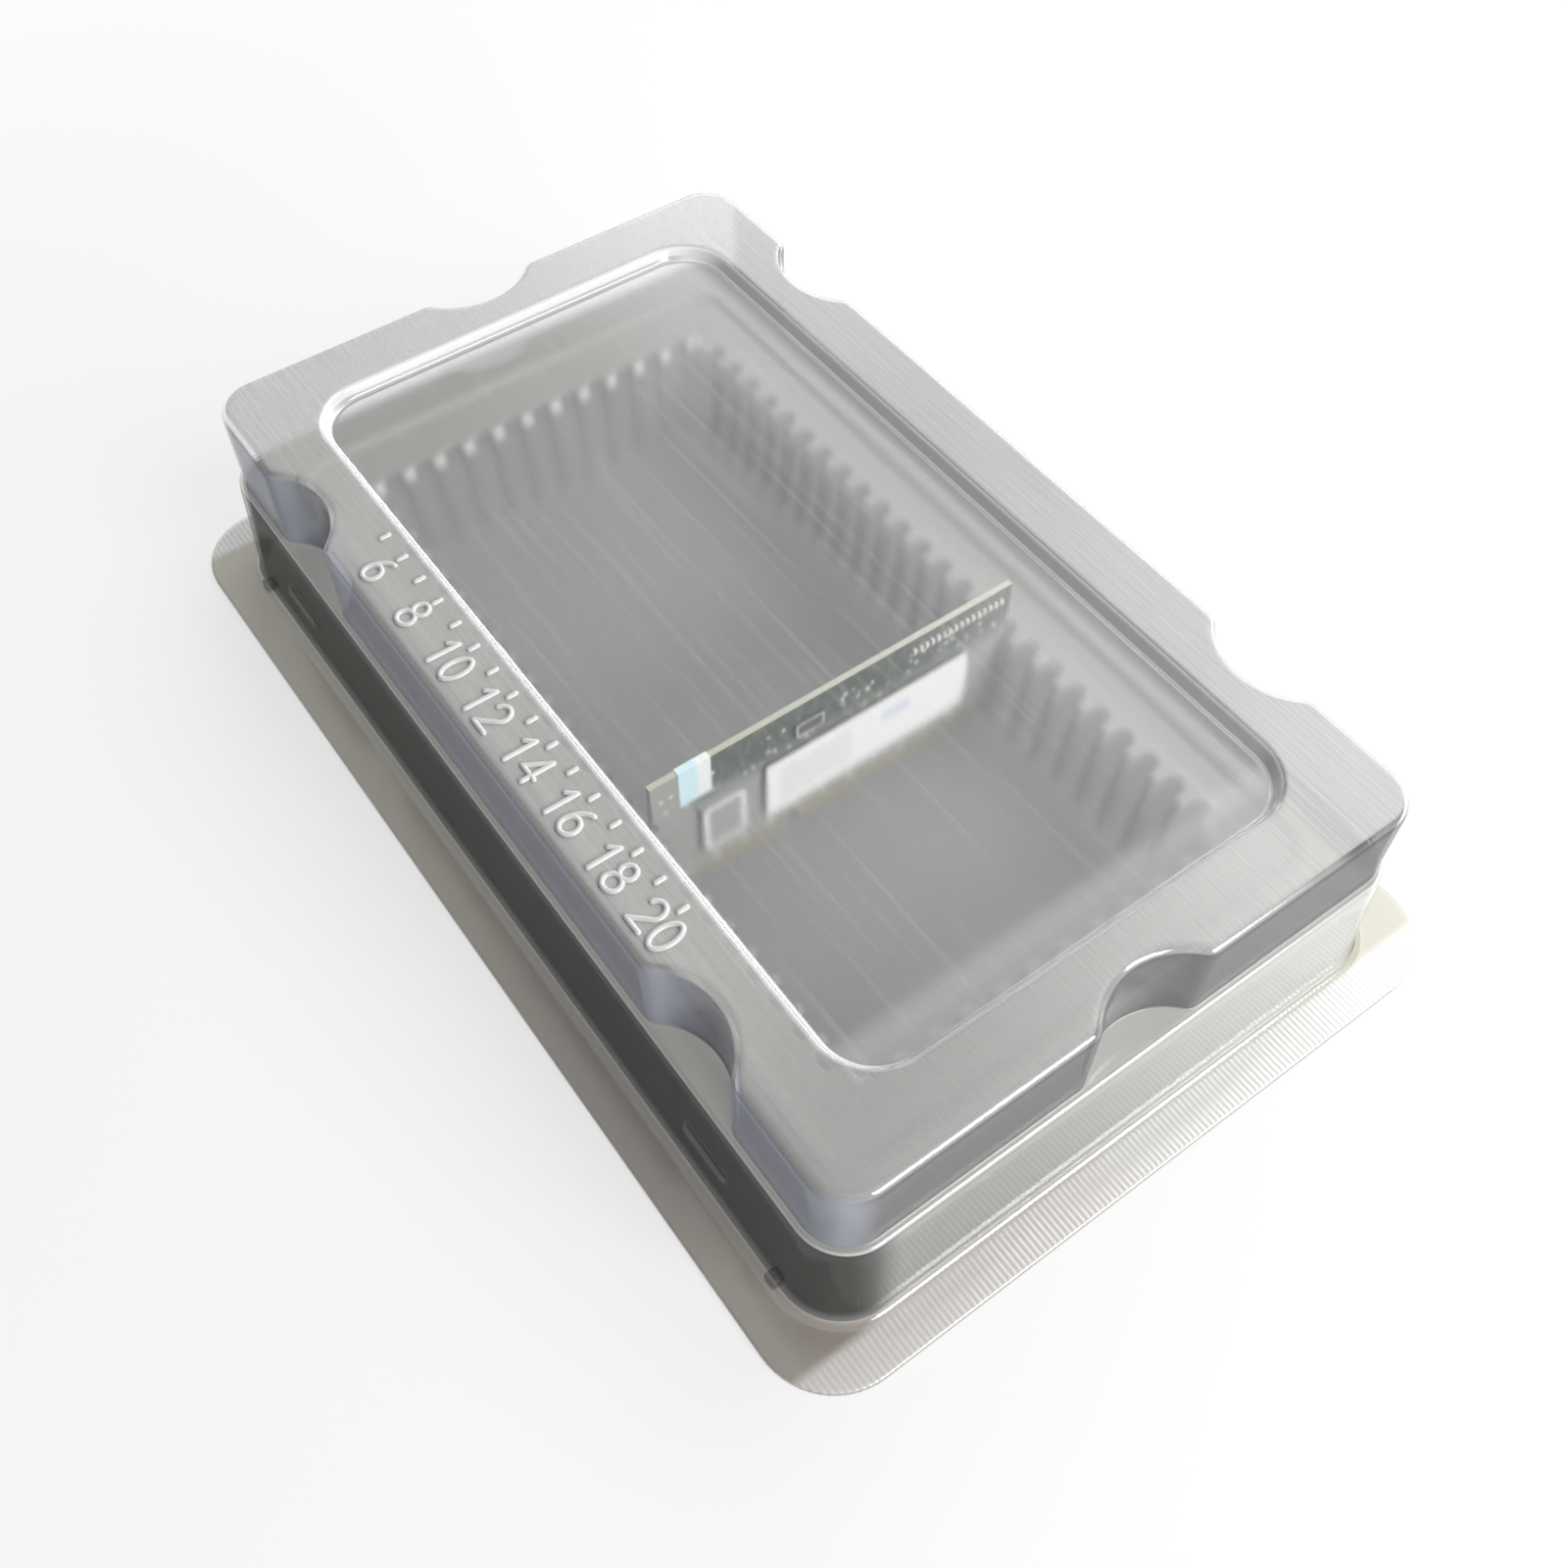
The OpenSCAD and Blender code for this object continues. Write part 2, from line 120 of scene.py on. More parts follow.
# Tray
LAND_Z = LEDGE_Z - SHEET - NEST_GAP
FLOOR_Z = BOARD_BOX[0, 2]
SLOT_COUNT = 24
SLOT_PITCH = 5.5
SLOT_W = 3.4
SLOT_FOOT = BOARD_BOX[1, 0] + 0.3
SLOT_LEAN = 1.9
TOOTH_REACH = 3.3
TOOTH_ROUND = 0.8
SLOT_ROUND = 1.6
END_FOOT = (SLOT_COUNT - 1) / 2 * SLOT_PITCH + SLOT_W / 2 + 1.2
END_LEAN = 2.0
FLUTE_COUNT = 11
FLUTE_PITCH = 2 * (SLOT_FOOT + SLOT_LEAN - TOOTH_REACH) / FLUTE_COUNT
FLUTE_R = 1.9
FLUTE_DEPTH = 1.6
FLUTE_ROUND = 0.8
# Share of a flute's width that its bottom takes
FLUTE_BOTTOM = 0.6
BEAD_W = 2.6
BEAD_H = 1.1
BEAD_CORNER = 6.0
BEAD_EDGE = 0.75 * BEAD_H
BEAD_FOOT = 0.1
POCKET_CORNER = 1.0
# Share of a short side that the roundings at its two ends may take
FULL_SIDE = 0.98
COMB_LIP = 0.6
LIP_MARGIN = 0.18
LAND_EDGE = 0.7
FLOOR_ROUND = 0.5
BEAD = AXIS + CAP_CORNER - NOTCH_DEPTH - SHEET - 1.0 - BEAD_W / 2

# Raised slot numbers on the left rim
SCALE_FIRST, SCALE_LAST = 5, 20
DIGIT_X = -48.9
DIGIT_H = 5.2
# Half a digit's width and the distance to the next digit, as shares of its height
DIGIT_HALF = 0.3
DIGIT_PITCH = 0.78
TICK_X = -42.9
TICK_L = 1.3
RIDGE_W = 0.95
RIDGE_H = 0.45

# Distance between the ribs on the flange's ends
RIB_PITCH = 0.9
# A sheet mirrors with its upper and its lower face
BOTH_FACES = 1.8
# Grain of the window's frost in millimetres, and how far it tilts the face as a share of one
FROST_GRAIN = 0.06
FROST_TILT = 0.17
# Cells per metre along X, Y and Z of the mould's lines and of cloudy patches
MOULD_LINES = (2400, 50, 0)
CLOUDS = (45, 20, 0)
# Share of light that a sheet lets through at its front face, and at its back face or from lamps
LID_TINT = (0.98, 0.985, 0.985, 1)
LID_SHADE = (0.98, 0.98, 0.98, 1)
TRAY_TINT = (0.72, 0.73, 0.73, 1)
TRAY_SHADE = (0.74, 0.74, 0.74, 1)
SHEET_IOR = 1.5
# Depth of the mould's lines, of the board's traces, and of the grain on chips and paper, in metres
SHEET_BUMP = 0.00012
BOARD_BUMP = 0.00005
FINE_BUMP = 0.00003
# Chips on the module, and the pale line near their edge, a painted highlight
CHIP_W = 8.2
CHIP_PITCH = 14.5
CHIP_HIGHLIGHT_W = 0.85
CHIP_HIGHLIGHT_R = 1.2
# The memory chips' grey is their dark body lightened by a painted sheen
MEMORY_GREY_AND_SHEEN = 0.36
SMALL_GREY = 0.07
# The small chip's painted highlight line, as a share of a memory chip's
SMALL_HIGHLIGHT = 0.25

# Camera: view angles, roll and distance that put the tray where the photograph has it
IMAGE_SIDE = 1600
FOCAL_PIXELS = 1650.4
VIEW_AZIMUTH = -36.38
VIEW_ELEVATION = 54.79
VIEW_ROLL = 0.48
VIEW_TARGET = np.array([-11.68, -21.88, 19.2])
VIEW_DISTANCE = 246.9
SENSOR_MM = 36.0
# Nearest distance that the camera sees, in metres
CLIP_START = 0.005

# Soft boxes: name, azimuth, elevation, distance, width and height in metres, share of a plain level
LAMPS = (
    ("key_box", 96, 46, 0.45, 0.3, 0.3, 0.45),
    ("rear_window", 134, 28, 0.8, 0.6, 0.14, 0.35),
    ("front_fill", 16, 30, 0.9, 0.5, 0.4, 0.95),
)
# Strength of the light from all round
WORLD_LEVEL = 0.16
FLOOR_HALF = 3000
FLOOR_POINTS = 7


def arc(centre, radius, start, end, steps=6):
    """Rows of [distance, height] on a circle: the centre plus radius times the cosine and sine of angles in
    degrees."""
    angle = np.radians(np.linspace(start, end, steps))
    return np.asarray(centre) + radius * np.stack([np.cos(angle), np.sin(angle)], axis=1)


def level(outline, z):
    """A plan outline of [x, y] rows lifted to one height."""
    return np.column_stack([outline, np.full(len(outline), z)])


def inset(outline, depth):
    """A closed outline moved inwards: each point goes depth against the normal of the chord through its
    neighbours."""
    chord = np.roll(outline, -1, axis=0) - np.roll(outline, 1, axis=0)
    chord /= np.linalg.norm(chord, axis=1, keepdims=True)
    return outline - depth * np.column_stack([chord[:, 1], -chord[:, 0]])


class Walk:
    """Stations once round a rounded rectangle, counter-clockwise from the +X side. A station is a share of
    the core rectangle's half sizes and an outward unit normal, so every rectangle has the same stations."""

    def __init__(self, long_side, short_side, corner_angles):
        share, angle = [], []
        turned = np.eye(2)
        for quarter in range(4):
            along = long_side if quarter % 2 == 0 else short_side
            side = np.column_stack([np.ones_like(along), along])
            corner = np.ones((len(corner_angles), 2))
            share.append(np.concatenate([side, corner]) @ turned.T)
            angle.append(np.concatenate([np.zeros_like(along), corner_angles]) + 90 * quarter)
            turned = np.array([[0, -1], [1, 0]]) @ turned
        self.share = np.concatenate(share)
        angle = np.radians(np.concatenate(angle))
        self.normal = np.column_stack([np.cos(angle), np.sin(angle)])

    def ring(self, core, radius):
        """Outline of [x, y] rows: share times the core's half sizes, plus radius times the normal."""
        return self.share * core + radius * self.normal

    def sweep(self, core, section):
        """A section of [radius, height] rows carried round the core rectangle, one loop per row."""
        section = np.asarray(section)
        plan = self.share * core + section[:, 0, None, None] * self.normal
        height = np.broadcast_to(section[:, 1, None, None], plan.shape[:2] + (1,))
        return np.concatenate([plan, height], axis=2)


def notch_depth(distance):
    """Depth of a finger notch at a distance from its middle: a circle about a centre outside the wall, then
    the two round blends that bring it back to the wall."""
    away = np.abs(distance)
    off = NOTCH_R - NOTCH_DEPTH
    span = np.sqrt((NOTCH_R + NOTCH_BLEND) ** 2 - (off + NOTCH_BLEND) ** 2)
    touch = span * NOTCH_R / (NOTCH_R + NOTCH_BLEND)
    hollow = np.sqrt(np.clip(NOTCH_R**2 - away**2, 0, None)) - off
    blend = NOTCH_BLEND - np.sqrt(np.clip(NOTCH_BLEND**2 - (span - away) ** 2, 0, None))
    return np.where(away < touch, hollow, np.where(away < span, blend, 0))


def bar_height(distance, height):
    """How far a snap bar stands out of the skirt: a round-ended bar of radius BAR_R, sunk until BAR_OUT
    shows."""
    past_end = np.clip(np.abs(distance) - (BAR_L / 2 - BAR_R), 0, None)
    off_axis = past_end**2 + (height - BAR_Z) ** 2
    return np.clip(np.sqrt(np.clip(BAR_R**2 - off_axis, 0, None)) - BAR_R + BAR_OUT, 0, None)


def closed_faces(loops, stations):
    """Quads between neighbouring loops, turned so that they face up where loops run inwards, and one last
    cap."""
    index = np.arange(loops * stations).reshape(loops, stations)
    after = np.roll(index, -1, axis=1)
    quads = np.stack([index[:-1], after[:-1], after[1:], index[1:]], axis=2).reshape(-1, 4)
    return quads.tolist() + [index[-1].tolist()]


def shell(loops):
    """A closed sheet below the face that loops draw. Its lower face is the same loops moved by the thickness
    against the normal, which is the cross product of the steps along a loop and from loop to loop, and a
    strip joins both faces along the first loop. Returns points, faces and which faces lie inside the last
    loop but one."""
    along = np.roll(loops, -1, axis=1) - np.roll(loops, 1, axis=1)
    normal = np.cross(along, np.gradient(loops, axis=0))
    normal /= np.linalg.norm(normal, axis=2, keepdims=True)
    lower = loops - (SHEET - HAIR) * normal
    count, stations = loops.shape[:2]
    upper_faces = closed_faces(count, stations)
    start = count * stations
    lower_faces = [[start + i for i in face[::-1]] for face in upper_faces]
    edge = np.arange(stations)
    after = np.roll(edge, -1)
    strip = np.stack([edge, edge + start, after + start, after], axis=1)
    inner = np.arange(len(upper_faces) - stations - 1, len(upper_faces))
    faces = upper_faces + lower_faces + strip.tolist()
    inner = np.concatenate([inner, inner + len(upper_faces)])
    return np.concatenate([loops, lower]).reshape(-1, 3), faces, inner


def make_piece(name, points, faces, materials, body, slot):
    """A mesh of points in millimetres, smooth shaded, at the origin, that rides on a CAD body."""
    mesh = bpy.data.meshes.new(name)
    mesh.from_pydata((points * MM).tolist(), [], faces)
    mesh.polygons.foreach_set("use_smooth", np.ones(len(mesh.polygons), dtype=bool))
    for material in materials:
        mesh.materials.append(material)
    mesh.update()
    piece = bpy.data.objects.new(name, mesh)
    bpy.context.scene.collection.objects.link(piece)
    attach(piece, body)
    return piece


def side_shares(half, dense):
    """Stations along one side as shares of its half length: one each SIDE_STEP, more at the dense places,
    and one at both ends."""
    inner = np.unique(np.concatenate([np.arange(-SIDE_REACH, SIDE_REACH + 1, SIDE_STEP), dense]))
    inner = inner[np.abs(inner) < half - 1]
    return np.concatenate([[-half], inner, [half]]) / half


def lid_skin():
    """The lid's upper face as loops from the flange's edge to the window: a section carried round the skirt,
    the cap's notched outline drawn in by its edge radius, and a section carried round the window."""
    dense = np.arange(-DENSE_HALF, DENSE_HALF + DENSE_STEP / 2, DENSE_STEP)
    walk = Walk(
        side_shares(AXIS[1], np.concatenate([DENSE_Y + dense, -DENSE_Y + dense])),
        side_shares(AXIS[0], dense), np.linspace(0, 90, 18)[1:-1],
    )
    along = np.abs(walk.share) * AXIS
    wall = walk.ring(AXIS, CAP_CORNER)
    depth = notch_depth(along[:, 1] - NOTCH_Y) + notch_depth(along[:, 0])
    cap = wall - depth[:, None] * walk.normal

    lean = (FOOT_R - LEDGE_R) / (LEDGE_Z - LID_Z)
    skirt_z = np.concatenate([[4.5], np.linspace(BAR_Z - BAR_R, BAR_Z + BAR_R, 13), [LEDGE_Z - 2.5]])
    skirt = np.column_stack([LEDGE_R + lean * (LEDGE_Z - skirt_z), skirt_z])
    foot = [FOOT_R + FOOT_FILLET, FLANGE_TOP + FOOT_FILLET]
    edge = [LEDGE_R - LEDGE_EDGE, LEDGE_Z - LEDGE_EDGE]
    lower = walk.sweep(AXIS, np.concatenate([
        [[FOOT_R + FOOT_FILLET + FLAT, FLANGE_TOP]],
        arc(foot, FOOT_FILLET, 270, 184, 7),
        skirt,
        arc(edge, LEDGE_EDGE, 0, 90),
    ]))
    on_long_side = np.abs(walk.normal[:, 1]) < TINY
    out = bar_height(along[None, :, 1] - BAR_Y, lower[:, :, 2]) * on_long_side
    lower[:, :, :2] += out[:, :, None] * walk.normal

    crease = 0.12
    rise = np.array([LEDGE_Z + crease, LEDGE_Z + 1, RIM_Z - CAP_EDGE - 1])
    upper = [level(inset(cap, -crease), LEDGE_Z)] + [level(cap, z) for z in rise]
    cap_edge = arc([CAP_EDGE, RIM_Z - CAP_EDGE], CAP_EDGE, 180, 90)
    upper += [level(inset(cap, inward), z) for inward, z in cap_edge]
    turn = np.degrees(WINDOW_SLOPE)
    outer, inner = WINDOW_CORNER + WINDOW_RUN / 2, WINDOW_CORNER - WINDOW_RUN / 2
    window = walk.sweep(WINDOW_AXIS, np.concatenate([
        [[outer + FLAT, RIM_Z]],
        arc([outer, RIM_Z - WINDOW_EDGE], WINDOW_EDGE, 90, 90 + turn, 10),
        arc([inner, RIM_Z - WINDOW_DEPTH + WINDOW_FOOT], WINDOW_FOOT, turn - 90, -90, 8),
        [[inner - FLAT, RIM_Z - WINDOW_DEPTH]],
    ]))
    behind_notches = CAP_CORNER - NOTCH_DEPTH - CAP_EDGE - FLAT - 0.1
    upper += [level(inset(cap, CAP_EDGE + FLAT), RIM_Z), level(walk.ring(AXIS, behind_notches), RIM_Z)]
    return np.concatenate([
        walk.sweep(FLANGE_AXIS, [[FLANGE_CORNER, FLANGE_TOP], [FLANGE_CORNER - FLANGE_RIM, FLANGE_TOP]]),
        lower, np.stack(upper), window,
    ])


def round_corners(corners, radii, steps, out):
    """A closed polygon moved outwards, with round corners. Each side moves out along its normal, corners
    that turn left gain as much radius and the others lose it. The two tangent points of a corner lie radius
    times the tangent of half the turn away, or nearer where two roundings crowd a side, and a quadratic
    blend of the corner and both points joins them."""
    after = np.roll(corners, -1, axis=0) - corners
    after /= np.linalg.norm(after, axis=1, keepdims=True)
    before = np.roll(after, 1, axis=0)
    normal = np.column_stack([after[:, 1], -after[:, 0]])
    cosine = (before * after).sum(axis=1)
    corners = corners + out * (normal + np.roll(normal, 1, axis=0)) / (1 + cosine[:, None])
    left = np.sign((before * normal).sum(axis=1))
    reach = (radii + out * left) * np.sqrt((1 - cosine) / (1 + cosine))
    length = np.linalg.norm(np.roll(corners, -1, axis=0) - corners, axis=1)
    fit = np.minimum(1, FULL_SIDE * length / (reach + np.roll(reach, -1)))
    reach = (reach * np.minimum(fit, np.roll(fit, 1)))[:, None]
    start, end = corners - reach * before, corners + reach * after
    t = np.linspace(0, 1, steps)[None, :, None]
    return (1 - t) ** 2 * start[:, None] + 2 * t * (1 - t) * corners[:, None] + t**2 * end[:, None]


def comb_corners(share):
    """Corners of the pocket's outline at a share of its height, counter-clockwise from the front of the +X
    side: four for each slot, four for each flute and one where the walls meet. The flutes share the width
    between the teeth evenly."""
    slot = SLOT_FOOT + share * SLOT_LEAN
    tooth = slot - TOOTH_REACH
    end = END_FOOT + share * END_LEAN
    slot_y = (np.arange(SLOT_COUNT) - (SLOT_COUNT - 1) / 2) * SLOT_PITCH
    y = (slot_y[:, None] + SLOT_W / 2 * np.array([-1, -1, 1, 1])).ravel()
    side = np.column_stack([np.tile([tooth, slot, slot, tooth], SLOT_COUNT), y])
    flute_x = (np.arange(FLUTE_COUNT) - (FLUTE_COUNT - 1) / 2) * 2 * tooth / FLUTE_COUNT
    x = (flute_x[:, None] + FLUTE_R * np.array([-1, -FLUTE_BOTTOM, FLUTE_BOTTOM, 1])).ravel()
    back = np.column_stack([x, np.tile(end + FLUTE_DEPTH * np.array([0, 1, 1, 0]), FLUTE_COUNT)])
    corner = np.array([[tooth, end]])
    half = np.concatenate([side, corner, back[::-1], corner * [-1, 1]])
    return np.concatenate([half, -half])


def tray_skin():
    """The tray's upper face as loops from the flange's edge to the pocket's floor: sections carried round
    the skirt and the bead, then the comb's outline at each height of the pocket. Beside the comb the land's
    loop has a station next to each of the comb's own."""
    steps = 13
    side_count, back_count = 4 * SLOT_COUNT, 4 * FLUTE_COUNT
    is_corner = np.tile(np.repeat([0, 1, 0, 1], [side_count, 1, back_count, 1]), 2).astype(bool)
    keep = np.zeros((len(is_corner), steps), dtype=bool)
    keep[:, [0, steps // 2, steps - 1]] = True
    keep[is_corner] = True
    slot_radii = np.tile([TOOTH_ROUND, SLOT_ROUND, SLOT_ROUND, TOOTH_ROUND], SLOT_COUNT)
    flute_radii = np.full(back_count, FLUTE_ROUND)
    radii = np.tile(np.concatenate([slot_radii, [POCKET_CORNER], flute_radii, [POCKET_CORNER]]), 2)

    def comb(share, out=0.0):
        return round_corners(comb_corners(share), radii, steps, out)[keep]

    top = comb(1)
    side_rows, back_rows = 3 * side_count, 3 * back_count
    walk = Walk(
        np.linspace(-1, 1, side_rows), np.linspace(-1, 1, back_rows), np.linspace(0, 90, steps + 2)[1:-1],
    )
    comb_axis = np.array([top[side_rows + steps, 0], top[side_rows - 1, 1]])
    around_comb = SLOT_FOOT + SLOT_LEAN + COMB_LIP + FLAT - comb_axis[0]

    foot = [FOOT_R + FOOT_FILLET - NEST_GAP, FLANGE_TOP + FOOT_FILLET]
    edge = [LEDGE_R - SHEET - NEST_GAP - LAND_EDGE, LAND_Z - LAND_EDGE]
    skirt = walk.sweep(AXIS, np.concatenate([
        [[foot[0] + FLAT, SHEET]],
        arc(foot, FOOT_FILLET + SHEET, 270, 184),
        arc(edge, LAND_EDGE, 0, 90, 4),
    ]))
    outer, inner = BEAD_CORNER + BEAD_W / 2, BEAD_CORNER - BEAD_W / 2
    bead_z = LAND_Z + BEAD_H - BEAD_EDGE
    bead = walk.sweep(BEAD - BEAD_CORNER, np.concatenate([
        [[outer + BEAD_FOOT + FLAT, LAND_Z], [outer + BEAD_FOOT, LAND_Z]],
        arc([outer - BEAD_EDGE, bead_z], BEAD_EDGE, 0, 90, 5),
        arc([inner + BEAD_EDGE, bead_z], BEAD_EDGE, 90, 180, 5),
        [[inner - BEAD_FOOT, LAND_Z], [inner - BEAD_FOOT - FLAT, LAND_Z]],
    ]))
    near = comb(1, COMB_LIP + LIP_MARGIN)
    spread = near / 2 + (np.roll(near, 1, axis=0) + np.roll(near, -1, axis=0)) / 4
    beside = np.where(np.abs(walk.normal) < TINY, spread, walk.ring(comb_axis, around_comb))
    around = walk.ring(comb_axis, around_comb + 2 * FLAT)
    land = [level(outline, LAND_Z) for outline in (around, beside, near)]
    lip_section = arc([COMB_LIP, LAND_Z - COMB_LIP], COMB_LIP, 90, 180, 4)
    lip = [level(comb(1, out), z) for out, z in lip_section[:-1]]
    height = LAND_Z - FLOOR_Z
    shares = (1 - COMB_LIP / height, 0.5, 0.06, 0.03)
    walls = [level(comb(share), FLOOR_Z + share * height) for share in shares]
    foot_section = ((0.5, HAIR), (1, 0), (1.1, 0))
    floor = [level(comb(0, -FLOOR_ROUND * inward), FLOOR_Z + up) for inward, up in foot_section]
    return np.concatenate([
        walk.sweep(FLANGE_AXIS, [[FLANGE_CORNER, SHEET], [FLANGE_CORNER - FLANGE_RIM, SHEET]]),
        skirt, bead, np.stack(land + lip + walls + floor),
    ])


def ellipse(x, y, half_w, half_h, start, end, steps=20):
    """Points on an ellipse: centre plus half sizes times cosine and sine of angles in degrees."""
    angle = np.radians(np.linspace(start, end, steps))
    return np.column_stack([x + half_w * np.cos(angle), y + half_h * np.sin(angle)])


def strokes_of(digit):
    """Pen strokes of a plain digit in a box 0.6 wide and 1 high, as [x, y] rows. The pen lifts at sharp
    corners."""
    if digit == "0":
        return [ellipse(0.3, 0.5, 0.27, 0.5, 90, 449, 28)]
    if digit == "1":
        return [np.array([[0.12, 0.76], [0.34, 1]]), np.array([[0.34, 1], [0.34, 0]])]
    if digit == "2":
        bow = np.concatenate([ellipse(0.3, 0.7, 0.27, 0.3, 165, -35), [[0.03, 0]]])
        return [bow, np.array([[0.03, 0], [0.58, 0]])]
    if digit == "4":
        foot, top, left, right = [0.46, 0], [0.46, 1], [0.02, 0.3], [0.6, 0.3]
        return [np.array([foot, top]), np.array([top, left]), np.array([left, right])]
    if digit == "6":
        tail = ellipse(0.63, 0.3, 0.6, 0.7, 108, 180)
        return [np.concatenate([tail, ellipse(0.3, 0.3, 0.27, 0.3, 180, 538)])]
    return [ellipse(0.3, 0.76, 0.23, 0.24, -90, 269), ellipse(0.3, 0.26, 0.28, 0.26, 90, 449)]


def resample(path, spacing):
    """A path cut into equal steps along its length."""
    length = np.concatenate([[0], np.cumsum(np.linalg.norm(np.diff(path, axis=0), axis=1))])
    stations = np.linspace(0, length[-1], max(4, int(length[-1] / spacing)))
    return np.column_stack([np.interp(stations, length, path[:, axis]) for axis in (0, 1)])


def ridge(path, z):
    """A round-topped ridge along a plan path: at each station a half ellipse RIDGE_W wide and RIDGE_H high
    across the path, on a foot just below z, drawn in to a point at both ends. Returns points and faces."""
    path = resample(path, RIDGE_W / 3)
    along = np.gradient(path, axis=0)
    along /= np.linalg.norm(along, axis=1, keepdims=True)
    angle = np.radians([90, 60, 30])
    first = path[0] - RIDGE_W / 2 * np.sin(angle)[:, None] * along[0]
    last = path[-1] + RIDGE_W / 2 * np.sin(angle[::-1])[:, None] * along[-1]
    taper = np.concatenate([np.cos(angle), np.ones(len(path)), np.cos(angle[::-1])]).clip(0.06)
    line = np.concatenate([first, path, last])
    along = np.concatenate([np.tile(along[0], (3, 1)), along, np.tile(along[-1], (3, 1))])
    across = np.column_stack([-along[:, 1], along[:, 0]])
    section = np.radians(np.linspace(0, 180, 7))
    out = taper[:, None] * np.cos(section) * RIDGE_W / 2
    up = taper[:, None] * np.sin(section) * RIDGE_H
    plan = line[:, None] + out[:, :, None] * across[:, None]
    loops = np.concatenate([plan, (z - HAIR + up)[:, :, None]], axis=2)
    count, sides = loops.shape[:2]
    index = np.arange(count * sides).reshape(count, sides)
    after = np.roll(index, -1, axis=1)
    quads = np.stack([index[:-1], index[1:], after[1:], after[:-1]], axis=2).reshape(-1, 4)
    return loops.reshape(-1, 3), quads.tolist() + [index[0].tolist(), index[-1, ::-1].tolist()]


def joined(parts):
    """Several (points, faces) pairs as one pair."""
    starts = np.cumsum([0] + [len(points) for points, _ in parts])
    faces = [[start + i for i in face] for start, (_, made) in zip(starts, parts) for face in made]
    return np.concatenate([points for points, _ in parts]), faces


def slot_scale():
    """Slot numbers and ticks raised on the left rim. They read from the rear to the front, with their heads
    towards the window, and each tick lies beside its slot."""
    parts = []
    for number in range(SCALE_FIRST, SCALE_LAST + 1):
        y = ((SLOT_COUNT + 1) / 2 - number) * SLOT_PITCH
        parts.append(ridge(np.array([[TICK_X, y], [TICK_X + TICK_L, y]]), RIM_Z))
        digits = str(number) if number % 2 == 0 else ""
        for place, digit in enumerate(digits):
            shift = (place - (len(digits) - 1) / 2) * DIGIT_PITCH - DIGIT_HALF
            for stroke in strokes_of(digit):
                pen = (stroke + [shift, 0]) * DIGIT_H
                parts.append(ridge(np.column_stack([DIGIT_X + pen[:, 1], y - pen[:, 0]]), RIM_Z))
    return joined(parts)


def lug(x, y):
    """A small stacking lug: a squared dome whose plan and side are superellipses, closed below."""
    around, rise = np.meshgrid(np.radians(np.arange(0, 360, 15)), np.radians([0, 15, 30, 45, 60, 75, 86]))
    power = 0.45

    def bend(wave):
        return np.sign(wave) * np.abs(wave) ** power

    plan = np.abs(np.cos(rise)) ** power * LUG_SIDE / 2
    points = np.stack([
        x + plan * bend(np.cos(around)), y + plan * bend(np.sin(around)),
        FLANGE_TOP - HAIR + LUG_H * np.abs(np.sin(rise)) ** power,
    ], axis=2)
    faces = closed_faces(*points.shape[:2])
    return points.reshape(-1, 3), faces + [list(range(points.shape[1]))[::-1]]


class Value:
    """An output socket of a node tree. Arithmetic on it adds Math nodes."""

    def __init__(self, paint, socket):
        self.paint = paint
        self.socket = socket

    def math(self, operation, *terms):
        return self.paint.node("ShaderNodeMath", {"operation": operation}, dict(enumerate(terms)))

    def __add__(self, other):
        return self.math("ADD", self, other)

    def __radd__(self, other):
        return self.math("ADD", other, self)

    def __sub__(self, other):
        return self.math("SUBTRACT", self, other)

    def __rsub__(self, other):
        return self.math("SUBTRACT", other, self)

    def __mul__(self, other):
        return self.math("MULTIPLY", self, other)

    def __rmul__(self, other):
        return self.math("MULTIPLY", other, self)

    def __pow__(self, other):
        return self.math("POWER", self, other)

    def sine(self):
        return self.math("SINE", self)

    def size(self):
        return self.math("ABSOLUTE", self)

    def fraction(self):
        return self.math("FRACT", self)

    def at_least(self, other):
        return self.math("MAXIMUM", self, other)

    def over(self, low, high):
        """0 below low and 1 above high, with a smooth step between. Low may be the larger, which turns it
        round."""
        return self.paint.node(
            "ShaderNodeMapRange", {"interpolation_type": "SMOOTHSTEP"},
            {"Value": self, "From Min": low, "From Max": high},
        )

    def output(self, name):
        """Another output of the node that this socket is on."""
        return Value(self.paint, self.socket.node.outputs[name])


